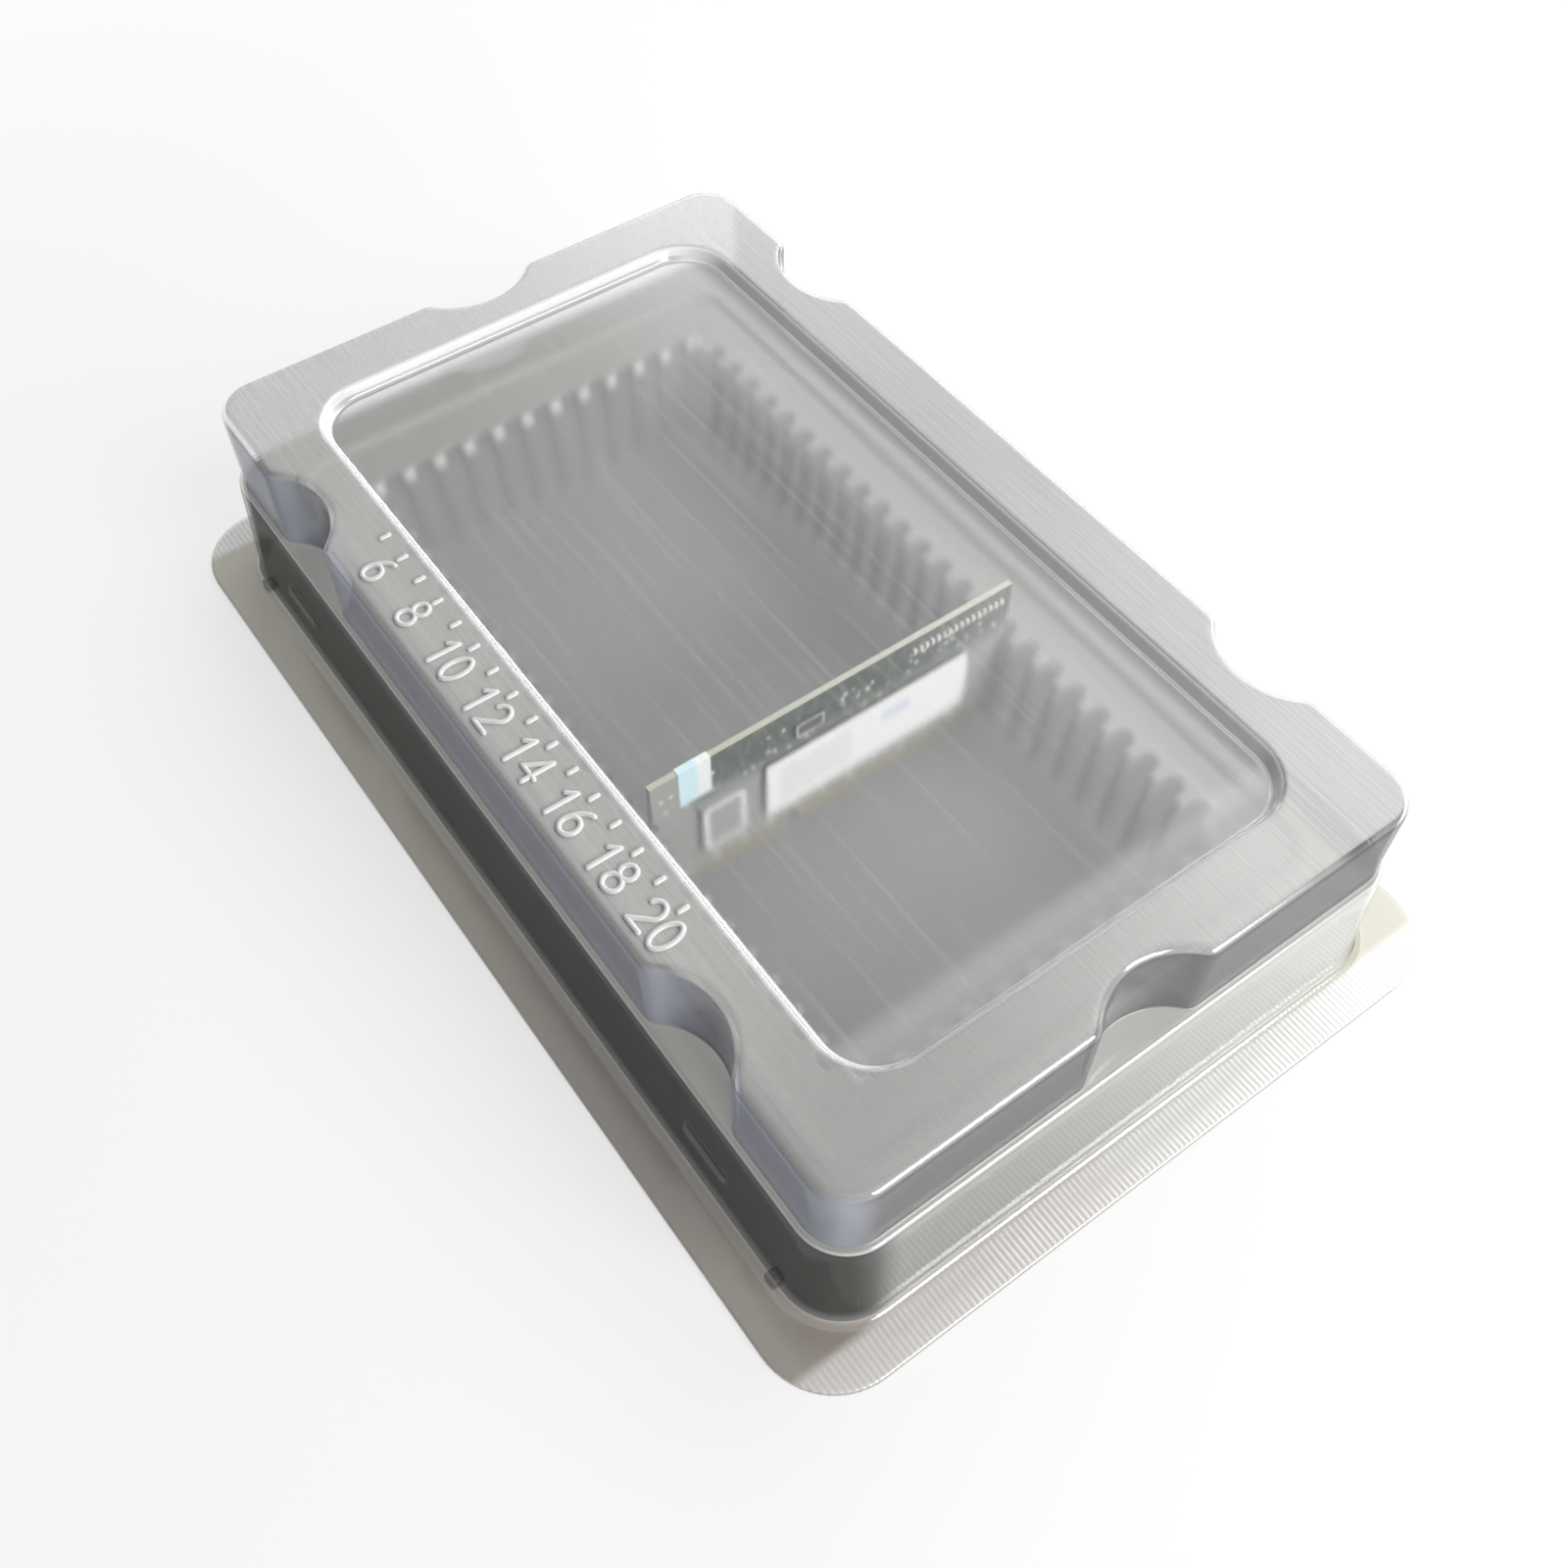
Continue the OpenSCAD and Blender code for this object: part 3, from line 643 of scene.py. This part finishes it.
class Paint:
    """The nodes of one material, or of the world."""

    def __init__(self, name, world=False):
        self.owner = (bpy.data.worlds if world else bpy.data.materials).new(name)
        self.owner.use_nodes = True
        self.tree = self.owner.node_tree
        self.tree.nodes.clear()

    def node(self, kind, settings=None, inputs=None, output=0):
        """Adds a node, sets its settings first and then the values or links of its sockets, and returns an
        output."""
        made = self.tree.nodes.new(kind)
        for name, value in (settings or {}).items():
            setattr(made, name, value)
        for name, value in (inputs or {}).items():
            if isinstance(value, Value):
                self.tree.links.new(value.socket, made.inputs[name])
            else:
                made.inputs[name].default_value = value
        return Value(self, made.outputs[output]) if made.outputs else None

    def point(self):
        """The point on the piece, in metres."""
        return self.node("ShaderNodeTexCoord", output="Object")

    def place(self):
        """The point on the piece, in metres, as a vector and its three parts."""
        point = self.point()
        x = self.node("ShaderNodeSeparateXYZ", inputs={0: point})
        return point, x, x.output("Y"), x.output("Z")

    def grain(self, point, scale, detail=2.0, dimensions="3D"):
        """Noise from 0 to 1, with its own scale along each axis, in cells per metre."""
        stretched = self.node("ShaderNodeVectorMath", {"operation": "MULTIPLY"}, {0: point, 1: scale})
        return self.node(
            "ShaderNodeTexNoise", {"noise_dimensions": dimensions},
            {"Vector": stretched, "Scale": 1.0, "Detail": detail},
        )

    def blend(self, share, first, second):
        """A colour between two others."""
        return self.node("ShaderNodeMix", {"data_type": "RGBA"}, {0: share, 6: first, 7: second}, 2)

    def bump(self, height, strength, distance):
        """The face's normal, tilted by the slope of a height."""
        relief = {"Height": height, "Strength": strength, "Distance": distance}
        return self.node("ShaderNodeBump", inputs=relief)

    def mix(self, share, first, second):
        """A shader between two others."""
        return self.node("ShaderNodeMixShader", inputs={0: share, 1: first, 2: second})

    def principled(self, **inputs):
        """A plain surface shader; sockets are named with underscores for spaces."""
        named = {name.replace("_", " "): value for name, value in inputs.items()}
        return self.node("ShaderNodeBsdfPrincipled", inputs=named)

    def finish(self, surface, kind="ShaderNodeOutputMaterial"):
        """Joins the last shader to the output, and returns the material or world."""
        self.node(kind, inputs={"Surface": surface})
        return self.owner


def band(value, low, high, soft=0.15):
    """1 between two places in millimetres and 0 outside them, with soft edges."""
    return value.over((low - soft) * MM, low * MM) * value.over((high + soft) * MM, high * MM)


def sheet_marks(paint, point):
    """What the mould leaves in a formed sheet: fine lines along Y, and faint cloudy patches, both from 0
    to 1."""
    return paint.grain(point, MOULD_LINES, 1.0, "2D"), paint.grain(point, CLOUDS, 1.0, "2D")


def laid(value, zones):
    """A number with each zone's own laid over what lies outside it."""
    for zone, zone_value in zones:
        value = value + zone * (zone_value - value)
    return value


def zoned(paint, cover, milk, zones):
    """Cover and milk colour with each zone's own laid over what lies outside it."""
    for zone, _, zone_milk in zones:
        milk = paint.blend(zone, milk, zone_milk)
    return laid(cover, [(zone, zone_cover) for zone, zone_cover, _ in zones]), milk


def frosted(paint, point):
    """The face's normal with a fine random tilt, which blurs things more the further they lie behind it."""
    flat = paint.node("ShaderNodeNewGeometry", output="Normal")
    grain = paint.node(
        "ShaderNodeTexNoise", {"noise_dimensions": "2D"},
        {"Vector": point, "Scale": 1000 / FROST_GRAIN, "Detail": 0.0}, "Color",
    )
    tilt = paint.node("ShaderNodeVectorMath", {"operation": "SUBTRACT"}, {0: grain, 1: (0.5, 0.5, 0.5)})
    tilt = paint.node("ShaderNodeVectorMath", {"operation": "SCALE"}, {0: tilt, "Scale": FROST_TILT})
    tilted = paint.node("ShaderNodeVectorMath", {"operation": "ADD"}, {0: flat, 1: tilt})
    return paint.node("ShaderNodeVectorMath", {"operation": "NORMALIZE"}, {0: tilted})


def clear_sheet(paint, cover, milk, normal, roughness, mirror, tint, shade, haze, glow=None, frost=None):
    """Formed clear sheet: light passes with a tint, the share in cover comes back milky, more of it, by the
    share in haze, where the sheet is seen edge on, and the face mirrors by Fresnel's share times mirror.
    Glow is the share of the milk that white light from behind takes. Lamps shine through each face by the
    share given as shade. With a frost normal the sheet bends light as glass, otherwise it lets it straight
    through."""
    facing = paint.node("ShaderNodeLayerWeight", inputs={"Blend": 0.5, "Normal": normal}, output="Facing")
    hazy = cover + (1 - cover) * haze * facing ** 4
    fresnel = paint.node("ShaderNodeFresnel", inputs={"IOR": SHEET_IOR, "Normal": normal})
    plain = paint.node("ShaderNodeBsdfTransparent", inputs={"Color": shade})
    body = paint.principled(Base_Color=milk, Roughness=0.5, Specular_IOR_Level=0.0, Normal=normal)
    if glow is not None:
        from_behind = paint.node("ShaderNodeBsdfTranslucent", inputs={"Color": WHITE, "Normal": normal})
        body = paint.mix(glow, body, from_behind)
    gloss = paint.node("ShaderNodeBsdfGlossy", inputs={
        "Color": WHITE, "Roughness": roughness, "Normal": normal,
    })
    path = paint.node("ShaderNodeLightPath", output="Is Shadow Ray")
    behind = paint.node("ShaderNodeNewGeometry", output="Backfacing")
    if frost is None:
        through, leaving = paint.node("ShaderNodeBsdfTransparent", inputs={"Color": tint}), plain
    else:
        bend = {"Roughness": 0.0, "IOR": SHEET_IOR}
        through = paint.node("ShaderNodeBsdfRefraction", inputs={"Color": tint, "Normal": frost, **bend})
        leaving = paint.node("ShaderNodeBsdfRefraction", inputs={"Color": shade, **bend})
    front = paint.mix(mirror * fresnel, paint.mix(hazy, through, body), gloss)
    surface = paint.mix(behind, front, leaving)
    if frost is not None:
        surface = paint.mix(path.output("Is Diffuse Ray"), surface, plain)
    return paint.finish(paint.mix(path, surface, plain))


def lid_paint():
    """The lid's sheet: satin and brushed on the rim and ribbed on the ends of the flange. Painted light: the
    rim's front darker at its left and paler at its right; white painted highlights along the window's flank
    and the ledge's edge; a pale lavender painted sheen on the cap's left wall; painted shade on the long
    sides of the skirt; the skirt's ends darker to the left and paler to the right; and painted shade at the
    front-left corner of the flange."""
    paint = Paint("clear_lid")
    point, x, y, z = paint.place()
    lines, cloud = sheet_marks(paint, point)
    wide, long = x.size(), y.size()
    within = wide.over((WINDOW[0] + 1.8) * MM, (WINDOW[0] + 1.5) * MM)
    within = within * long.over((WINDOW[1] + 1.8) * MM, (WINDOW[1] + 1.5) * MM)
    rim = z.over((RIM_Z - 0.2) * MM, (RIM_Z - 0.05) * MM)
    # Painted highlight: the window's flank is painted white, less so at its front and rear ends
    flank_highlight = band(z, RIM_Z - WINDOW_DEPTH + 0.1, RIM_Z - 0.25) * within
    cap_wall = band(z, LEDGE_Z + 0.3, RIM_Z - 0.9, 0.5) * (1 - within)
    flank_end = long.over((WINDOW[1] - 3) * MM, (WINDOW[1] - 0.5) * MM)
    end_foot = z.over((RIM_Z - 1.2) * MM, (RIM_Z - 1.5) * MM) * within * flank_end
    ledge = band(z, LEDGE_Z - 0.1, LEDGE_Z + 0.1)
    # Painted highlight: a pale line along the ledge's edge
    ledge_edge_highlight = band(z, LEDGE_Z - 0.5, LEDGE_Z - 0.2, 0.1)
    skirt = band(z, FLANGE_TOP + 0.8, LEDGE_Z - 0.6, 0.2)
    # Painted shade: the long sides of the skirt are painted near black and mirror less, the snap bars' tops
    # less dark
    left_skirt = skirt * x.over((4 - AXIS[0]) * MM, (-2 - AXIS[0]) * MM)
    side_skirt_painted_shade = left_skirt.at_least(skirt * x.over(AXIS[0] * MM, (AXIS[0] + 5) * MM))
    # Painted shade at the front-left corner, on the flange and on its ribbed end
    front_left_painted_shade = y.over(0.06, -0.06) * x.over(0.02, -0.02)
    past_bar = ((long - BAR_Y * MM).size() - (BAR_L / 2 - BAR_R) * MM).at_least(0)
    bar_reach = (past_bar ** 2 + (z - BAR_Z * MM) ** 2) ** 0.5
    bar_top = side_skirt_painted_shade * bar_reach.over(BAR_R * 0.65 * MM, BAR_R * 0.5 * MM)
    flange = z.over((FLANGE_TOP + 0.9) * MM, (FLANGE_TOP + 0.2) * MM)
    end = long.over((AXIS[1] + FOOT_R) * MM, (AXIS[1] + FOOT_R + 2) * MM)
    ribs = (x * (2 * np.pi / (RIB_PITCH * MM))).sine() * end
    # Painted light on the rim: its front is darker to the left and paler to the right
    front_rim_painted_light = paint.blend(x.over(-0.045, 0.05), (0.35, 0.35, 0.342, 1), (0.56, 0.56, 0.548, 1))
    rim_milk_painted_light = paint.blend(y.over(-0.045, -0.08), (0.48, 0.48, 0.467, 1), front_rim_painted_light)
    # Painted sheen: the cap's left wall is pale lavender, the other cap walls dark grey
    wall_milk_painted_sheen = paint.blend(x.over(-0.05, -0.044), (0.42, 0.44, 0.53, 1), (0.12, 0.122, 0.125, 1))
    # Painted light on the skirt's ends: darker to the left and paler to the right
    skirt_milk_painted_light = paint.blend(x.over(-0.04, 0.05), (0.22, 0.225, 0.21, 1), (0.66, 0.67, 0.64, 1))
    flange_milk_painted_shade = paint.blend(front_left_painted_shade, (0.56, 0.53, 0.4, 1), (0.27, 0.22, 0.17, 1))
    end_milk_painted_shade = paint.blend(front_left_painted_shade, (0.86, 0.86, 0.84, 1), (0.76, 0.73, 0.69, 1))
    cover, milk = zoned(paint, 0.03 + 0.1 * cloud, (0.6, 0.61, 0.62, 1), (
        (rim, 0.5 + 0.45 * lines, rim_milk_painted_light),
        (flank_highlight, 0.9 - 0.5 * flank_end, (0.88, 0.89, 0.88, 1)),
        (end_foot, 0.8, (0.4, 0.4, 0.395, 1)),
        (cap_wall, 0.75, wall_milk_painted_sheen),
        (cap_wall * y.over(0.078, 0.082), 0.15, (0.5, 0.5, 0.49, 1)),
        (ledge, 0.5, (0.48, 0.48, 0.445, 1)),
        (ledge_edge_highlight, 0.6, (0.8, 0.8, 0.78, 1)),
        (skirt, 0.5, skirt_milk_painted_light),
        (side_skirt_painted_shade, 0.5, (0.045, 0.045, 0.04, 1)),
        (bar_top, 0.6, (0.22, 0.22, 0.2, 1)),
        (flange, 0.6, flange_milk_painted_shade),
        (end, 0.75 + 0.15 * ribs, end_milk_painted_shade),
    ))
    return clear_sheet(
        paint, cover, milk,
        normal=paint.bump(0.12 * lines + 0.5 * ribs, 0.35, SHEET_BUMP),
        roughness=0.12 + 0.22 * rim,
        mirror=BOTH_FACES * (1 - 0.82 * side_skirt_painted_shade) * (1 - 0.75 * cap_wall) * (1 - 0.4 * rim),
        tint=LID_TINT, shade=LID_SHADE, haze=0.3,
    )


def window_paint():
    """The lid's window: clear but finely frosted, with cloudy patches and long faint streaks along Y."""
    paint = Paint("frosted_window")
    point, x, y, _ = paint.place()
    cloud = paint.grain(point, CLOUDS, 1.0, "2D")
    streaks = paint.grain(point, (800, 18, 0), 1.0, "2D").over(0.5, 0.85)
    front = y.over((9 - WINDOW[1]) * MM, (2.5 - WINDOW[1]) * MM)
    right = x.over(0, WINDOW[0] * MM)
    milk = paint.blend(front, (0.75, 0.76, 0.76, 1), (0.36, 0.36, 0.355, 1))
    cover = 0.02 + 0.06 * cloud + 0.07 * streaks + 0.16 * right + 0.6 * front
    flat = paint.node("ShaderNodeNewGeometry", output="Normal")
    return clear_sheet(
        paint, cover, milk, normal=flat, roughness=0.42, mirror=0.9,
        tint=LID_TINT, shade=LID_SHADE, haze=0.1, frost=frosted(paint, point),
    )


def tray_paint():
    """The tray's sheet: greyer and duller than the lid and streaked along Y on the pocket's floor. Painted
    light:
    the land paler than the pocket's walls and floor, which stand in painted shade; painted shade on the long
    sides of its skirt; and painted highlights, white and glossy, at the tips of the ribs on the pocket's
    ends."""
    paint = Paint("clear_tray")
    point, x, y, z = paint.place()
    lines, cloud = sheet_marks(paint, point)
    land = z.over((LAND_Z - 0.5) * MM, (LAND_Z - 0.1) * MM)
    floor = z.over((FLOOR_Z + 0.3) * MM, (FLOOR_Z + 0.1) * MM)
    wide = x.size()
    # Painted shade: the long sides of the skirt are painted near black, and mirror and glow less
    skirt = wide.over((AXIS[0] - 1) * MM, (AXIS[0] + 4) * MM)
    skirt = skirt * z.over(FLANGE_TOP * MM, (FLANGE_TOP + 1) * MM)
    between_flutes = (x * (2 * np.pi / (FLUTE_PITCH * MM)) + np.pi * 1.5).sine().over(0.1, 0.8)
    # Painted highlight: the tips of the ribs on the pocket's ends are painted white and mirror more
    tip_highlights = band(y.size(), END_FOOT, END_FOOT + END_LEAN + 0.6) * band(z, LAND_Z - 1.5, LAND_Z - 0.1, 0.7)
    tip_highlights = tip_highlights * between_flutes * wide.over((SLOT_FOOT + 3) * MM, (SLOT_FOOT + 2) * MM)
    flange = z.over((FLANGE_TOP + 0.3) * MM, FLANGE_TOP * MM)
    # Painted shade: the pocket's walls and floor are painted darker than the land above them
    cover, milk = zoned(paint, 0.82, (0.212, 0.215, 0.212, 1), (
        (land, 0.85, (0.395, 0.395, 0.367, 1)),
        (floor, 0.65 + 0.12 * lines + 0.1 * cloud, (0.209, 0.212, 0.209, 1)),
        (skirt, 0.85, (0.042, 0.042, 0.036, 1)),
        (flange, 0.72, (0.346, 0.339, 0.306, 1)),
        (tip_highlights, 0.9, (0.687, 0.687, 0.653, 1)),
    ))
    return clear_sheet(
        paint, cover, milk,
        normal=paint.bump(0.2 * lines, 0.3, SHEET_BUMP),
        roughness=0.3,
        mirror=0.3 - 0.28 * skirt + tip_highlights,
        tint=TRAY_TINT, shade=TRAY_SHADE, haze=0.12,
        glow=laid(0.175, ((land, 0.28), (skirt, 0.04), (flange, 0.25), (tip_highlights, 0.4))),
    )


def mark_paint():
    """Raised marks on the rim: painted whiter than the rim, a painted highlight, and glossy."""
    paint = Paint("raised_marks")
    grain = paint.grain(paint.point(), (900, 900, 900))
    colour = paint.blend(grain, (0.62, 0.62, 0.61, 1), (0.74, 0.74, 0.73, 1))
    return paint.finish(paint.principled(Base_Color=colour, Roughness=0.2 + 0.1 * grain))


def board_paint():
    """Green solder mask with fine traces, dark in its upper band, where small pale pads are strewn, greyer
    below it, and with a pale cut edge."""
    paint = Paint("solder_mask")
    point, x, _, z = paint.place()
    traces = paint.grain(point, (900, 900, 260), 1.0).over(0.52, 0.6)
    dark = paint.blend(traces, (0.06, 0.075, 0.065, 1), (0.1, 0.12, 0.1, 1))
    plain = z.over((BOARD_TOP - 6) * MM, (BOARD_TOP - 13) * MM)
    plain = plain.at_least(x.over((BOARD_BOX[0, 0] + 9) * MM, (BOARD_BOX[0, 0] + 6) * MM))
    faces = paint.blend(plain, dark, (0.34, 0.35, 0.33, 1))
    cells = paint.node("ShaderNodeTexVoronoi", inputs={"Vector": point, "Scale": 700.0})
    chosen = paint.node("ShaderNodeSeparateColor", inputs={0: cells.output("Color")}).over(0.5, 0.52)
    pads = cells.over(0.36, 0.2) * chosen * band(z, BOARD_TOP - 9, BOARD_TOP - 3.5)
    faces = paint.blend(pads, faces, (0.7, 0.7, 0.65, 1))
    edge = z.over((BOARD_TOP - 0.12) * MM, (BOARD_TOP - 0.02) * MM)
    colour = paint.blend(edge, faces, (0.5, 0.51, 0.41, 1))
    return paint.finish(paint.principled(
        Base_Color=colour, Roughness=0.35 + 0.15 * traces, Normal=paint.bump(traces, 0.3, BOARD_BUMP),
    ))


def chip_paint(name, node, width, pitch, highlight_share, grey):
    """Moulded chips in a row: grey with a fine matt grain, and a pale line with round corners near each
    chip's edge, a painted highlight. A point's place on its chip is its distance from the nearest middle in
    the row."""
    paint = Paint(name)
    point, x, _, z = paint.place()
    low, high = corners_of(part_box(node)) / MM
    highlight_w, highlight_r = CHIP_HIGHLIGHT_W * highlight_share, CHIP_HIGHLIGHT_R * highlight_share
    first = low[0] + width / 2
    step = (x * (1 / (pitch * MM)) + (0.5 - first / pitch)).fraction()
    across = ((step - 0.5) * pitch).size()
    up = (z * (1 / MM) - (low[2] + high[2]) / 2).size()
    inner = np.array([width, high[2] - low[2]]) / 2 - highlight_w / 2 - highlight_r
    over_x = (across - inner[0]).at_least(0)
    over_z = (up - inner[1]).at_least(0)
    reach = (over_x * over_x + over_z * over_z) ** 0.5
    # Painted highlight: a pale line near each chip's edge
    line = reach.over(highlight_r - highlight_w, highlight_r - 0.6 * highlight_w) * reach.over(highlight_r + 0.2 * highlight_w, highlight_r)
    grain = paint.grain(point, (2500, 2500, 2500))
    dark, light = grey * np.array([[0.87, 0.88, 0.87], [1.13, 1.15, 1.13]])
    colour = paint.blend(grain, (*dark, 1), (*light, 1))
    colour = paint.blend(line, colour, (0.9, 0.9, 0.87, 1))
    return paint.finish(paint.principled(
        Base_Color=colour, Roughness=0.4 + 0.2 * grain, Normal=paint.bump(grain, 0.2, FINE_BUMP),
    ))


def gold_paint():
    """Gold plating with slight dulling."""
    paint = Paint("gold_plating")
    grain = paint.grain(paint.point(), (1200, 1200, 300))
    colour = paint.blend(grain, (0.72, 0.6, 0.36, 1), (0.82, 0.72, 0.48, 1))
    return paint.finish(paint.principled(Base_Color=colour, Metallic=1.0, Roughness=0.35 + 0.2 * grain))


def passive_paint():
    """Small ceramic parts: tan, with bright tinned patches strewn over them."""
    paint = Paint("tinned_ceramic")
    point = paint.point()
    grain = paint.grain(point, (3000, 3000, 3000))
    tinned = paint.grain(point, (900, 900, 900), 0.0).over(0.42, 0.5)
    colour = paint.blend(tinned, (0.72, 0.63, 0.45, 1), (0.95, 0.94, 0.9, 1))
    roughness = 0.3 + 0.2 * grain
    return paint.finish(paint.principled(Base_Color=colour, Metallic=0.2 * tinned, Roughness=roughness))


def paper_paint():
    """White label stock with a plain grey field and a strip of pale blue."""
    paint = Paint("label_paper")
    point, x, _, z = paint.place()
    low, high = corners_of(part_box("module_label"))
    size = high - low
    across = (x - low[0]) * (1 / size[0])
    up = (z - low[2]) * (1 / size[2])
    fibre = paint.grain(point, (1500, 1500, 1500))
    field = across.over(0.06, 0.07) * across.over(0.42, 0.41) * up.over(0.16, 0.18) * up.over(0.84, 0.82)
    strip = across.over(0.56, 0.58) * across.over(0.72, 0.7) * up.over(0.56, 0.6) * up.over(0.8, 0.76)
    white = paint.blend(fibre, (0.93, 0.93, 0.92, 1), (0.97, 0.97, 0.96, 1))
    grey = paint.blend(0.22 * field, white, (0.5, 0.46, 0.44, 1))
    colour = paint.blend(0.35 * strip, grey, (0.35, 0.42, 0.75, 1))
    return paint.finish(paint.principled(
        Base_Color=colour, Roughness=0.6, Normal=paint.bump(fibre, 0.15, FINE_BUMP),
    ))


def flag_paint():
    """Thin printed film: pale blue on its left part, white on its right, slightly glossy."""
    paint = Paint("flag_film")
    point, x, _, _ = paint.place()
    low, high = corners_of(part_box("module_flag"))
    across = (x - low[0]) * (1 / (high[0] - low[0]))
    cloud = paint.grain(point, (500, 500, 300))
    blue = paint.blend(cloud, (0.56, 0.85, 0.97, 1), (0.86, 0.98, 1, 1))
    colour = paint.blend(across.over(0.55, 0.62), blue, (0.95, 0.96, 0.95, 1))
    return paint.finish(paint.principled(Base_Color=colour, Roughness=0.3 + 0.15 * cloud))


def floor_paint():
    """Plain pale floor with a very faint mottle. To the camera and in reflections more than half of it is
    plain white, and all of it far from the tray."""
    paint = Paint("pale_floor")
    point, x, y, _ = paint.place()
    mottle = paint.grain(point, (6, 6, 6))
    colour = paint.blend(mottle, (0.93, 0.93, 0.925, 1), (0.95, 0.95, 0.945, 1))
    lit = paint.principled(Base_Color=colour, Roughness=0.7, Specular_IOR_Level=0.1)
    seen = paint.node("ShaderNodeLightPath", output="Is Camera Ray")
    seen = seen.at_least(seen.output("Is Glossy Ray"))
    white = paint.node("ShaderNodeEmission", inputs={"Color": WHITE, "Strength": 1.0})
    far = ((x * x + y * y) ** 0.5).over(0.1, 0.4)
    return paint.finish(paint.mix((0.6 + 0.4 * far) * seen, lit, white))


def direction(azimuth, elevation):
    """Unit vector from the object towards a viewer or a lamp: azimuth 0 is on the -Y side and 90 on the +X
    side."""
    a, e = np.radians([azimuth, elevation])
    return np.array([np.sin(a) * np.cos(e), -np.cos(a) * np.cos(e), np.sin(e)])


def add_camera():
    """The photograph's camera: its axis runs from the target along the view direction, and it is turned by
    the roll."""
    back = direction(VIEW_AZIMUTH, VIEW_ELEVATION)
    right = np.array([np.cos(np.radians(VIEW_AZIMUTH)), np.sin(np.radians(VIEW_AZIMUTH)), 0])
    up = np.cross(back, right)
    c, s = np.cos(np.radians(VIEW_ROLL)), np.sin(np.radians(VIEW_ROLL))
    pose = np.eye(4)
    pose[:3, :3] = np.column_stack([c * right + s * up, c * up - s * right, back])
    pose[:3, 3] = (VIEW_TARGET + VIEW_DISTANCE * back) * MM
    data = bpy.data.cameras.new("camera")
    data.sensor_width = SENSOR_MM
    data.lens = SENSOR_MM * FOCAL_PIXELS / IMAGE_SIDE
    data.clip_start = CLIP_START
    camera = bpy.data.objects.new("camera", data)
    camera.matrix_world = Matrix(pose.tolist())
    bpy.context.scene.collection.objects.link(camera)
    bpy.context.scene.camera = camera


def add_lamp(name, azimuth, elevation, distance, width, height, level_share):
    """A soft box that faces the tray. Its power gives level_share of a plain level on a face turned towards
    it."""
    data = bpy.data.lights.new(name, "AREA")
    data.shape = "RECTANGLE"
    data.size, data.size_y = width, height
    data.energy = np.pi**2 * level_share * distance**2
    lamp = bpy.data.objects.new(name, data)
    away = Vector(direction(azimuth, elevation).tolist())
    lamp.location = away * distance
    lamp.rotation_euler = away.to_track_quat("Z", "Y").to_euler()
    bpy.context.scene.collection.objects.link(lamp)


def add_world():
    """Even grey light from all round. Seen directly, through glass or in a reflection it is white."""
    paint = Paint("studio", world=True)
    seen = paint.node("ShaderNodeLightPath", output="Is Camera Ray")
    seen = seen.at_least(seen.output("Is Glossy Ray")).at_least(seen.output("Is Transmission Ray"))
    strength = WORLD_LEVEL + (1 - WORLD_LEVEL) * seen
    light = paint.node("ShaderNodeBackground", inputs={"Color": WHITE, "Strength": strength})
    bpy.context.scene.world = paint.finish(light, "ShaderNodeOutputWorld")


def add_floor():
    """A wide flat floor at the tray's foot, as a coarse grid."""
    line = np.linspace(-FLOOR_HALF, FLOOR_HALF, FLOOR_POINTS)
    x, y = np.meshgrid(line, line)
    points = np.stack([x, y, 0 * x], axis=2).reshape(-1, 3) * MM
    index = np.arange(FLOOR_POINTS**2).reshape(FLOOR_POINTS, FLOOR_POINTS)
    quads = np.stack([index[:-1, :-1], index[:-1, 1:], index[1:, 1:], index[1:, :-1]], axis=2)
    mesh = bpy.data.meshes.new("floor")
    mesh.from_pydata(points.tolist(), [], quads.reshape(-1, 4).tolist())
    mesh.materials.append(floor_paint())
    floor = bpy.data.objects.new("floor", mesh)
    bpy.context.scene.collection.objects.link(floor)


def dress(node, material):
    """Gives a CAD node its finish."""
    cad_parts[node].material_slots[0].material = material


lid_finish = lid_paint()
lid_points, lid_faces, panes = shell(lid_skin())
lid = make_piece("lid_sheet", lid_points, lid_faces, [lid_finish, window_paint()], "lid", "clear_lid")
for pane in panes.tolist():
    lid.data.polygons[pane].material_index = 1
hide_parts("lid")
tray_points, tray_faces, _ = shell(tray_skin())
tray = make_piece("tray_sheet", tray_points, tray_faces, [tray_paint()], "tray", "clear_tray")
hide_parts("base_tray")
make_piece("slot_scale", *slot_scale(), [mark_paint()], "lid", "clear_lid")
lug_x = AXIS[0] + FOOT_R
lugs = joined([lug(sx * lug_x, sy * LUG_Y) for sx in (-1, 1) for sy in (-1, 1)])
make_piece("stacking_lugs", *lugs, [lid_finish], "lid", "clear_lid")

dress("module_board", board_paint())
memory_chip = chip_paint("memory_chip", "module_chips_front", CHIP_W, CHIP_PITCH, 1, MEMORY_GREY_AND_SHEEN)
dress("module_chips_front", memory_chip)
dress("module_chips_back", memory_chip)
small_box = corners_of(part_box("module_small_chip")) / MM
small_w = small_box[1, 0] - small_box[0, 0]
small_chip = chip_paint("small_chip", "module_small_chip", small_w, 2 * small_w, SMALL_HIGHLIGHT, SMALL_GREY)
dress("module_small_chip", small_chip)
dress("module_contacts", gold_paint())
dress("module_passives", passive_paint())
dress("module_label", paper_paint())
dress("module_flag", flag_paint())

add_floor()
add_camera()
add_world()
for lamp in LAMPS:
    add_lamp(*lamp)

scene = bpy.context.scene
scene.view_settings.view_transform = "Standard"
scene.cycles.transparent_max_bounces = 32
scene.cycles.max_bounces = 6
scene.cycles.diffuse_bounces = 2
scene.cycles.glossy_bounces = 2
scene.cycles.caustics_reflective = False
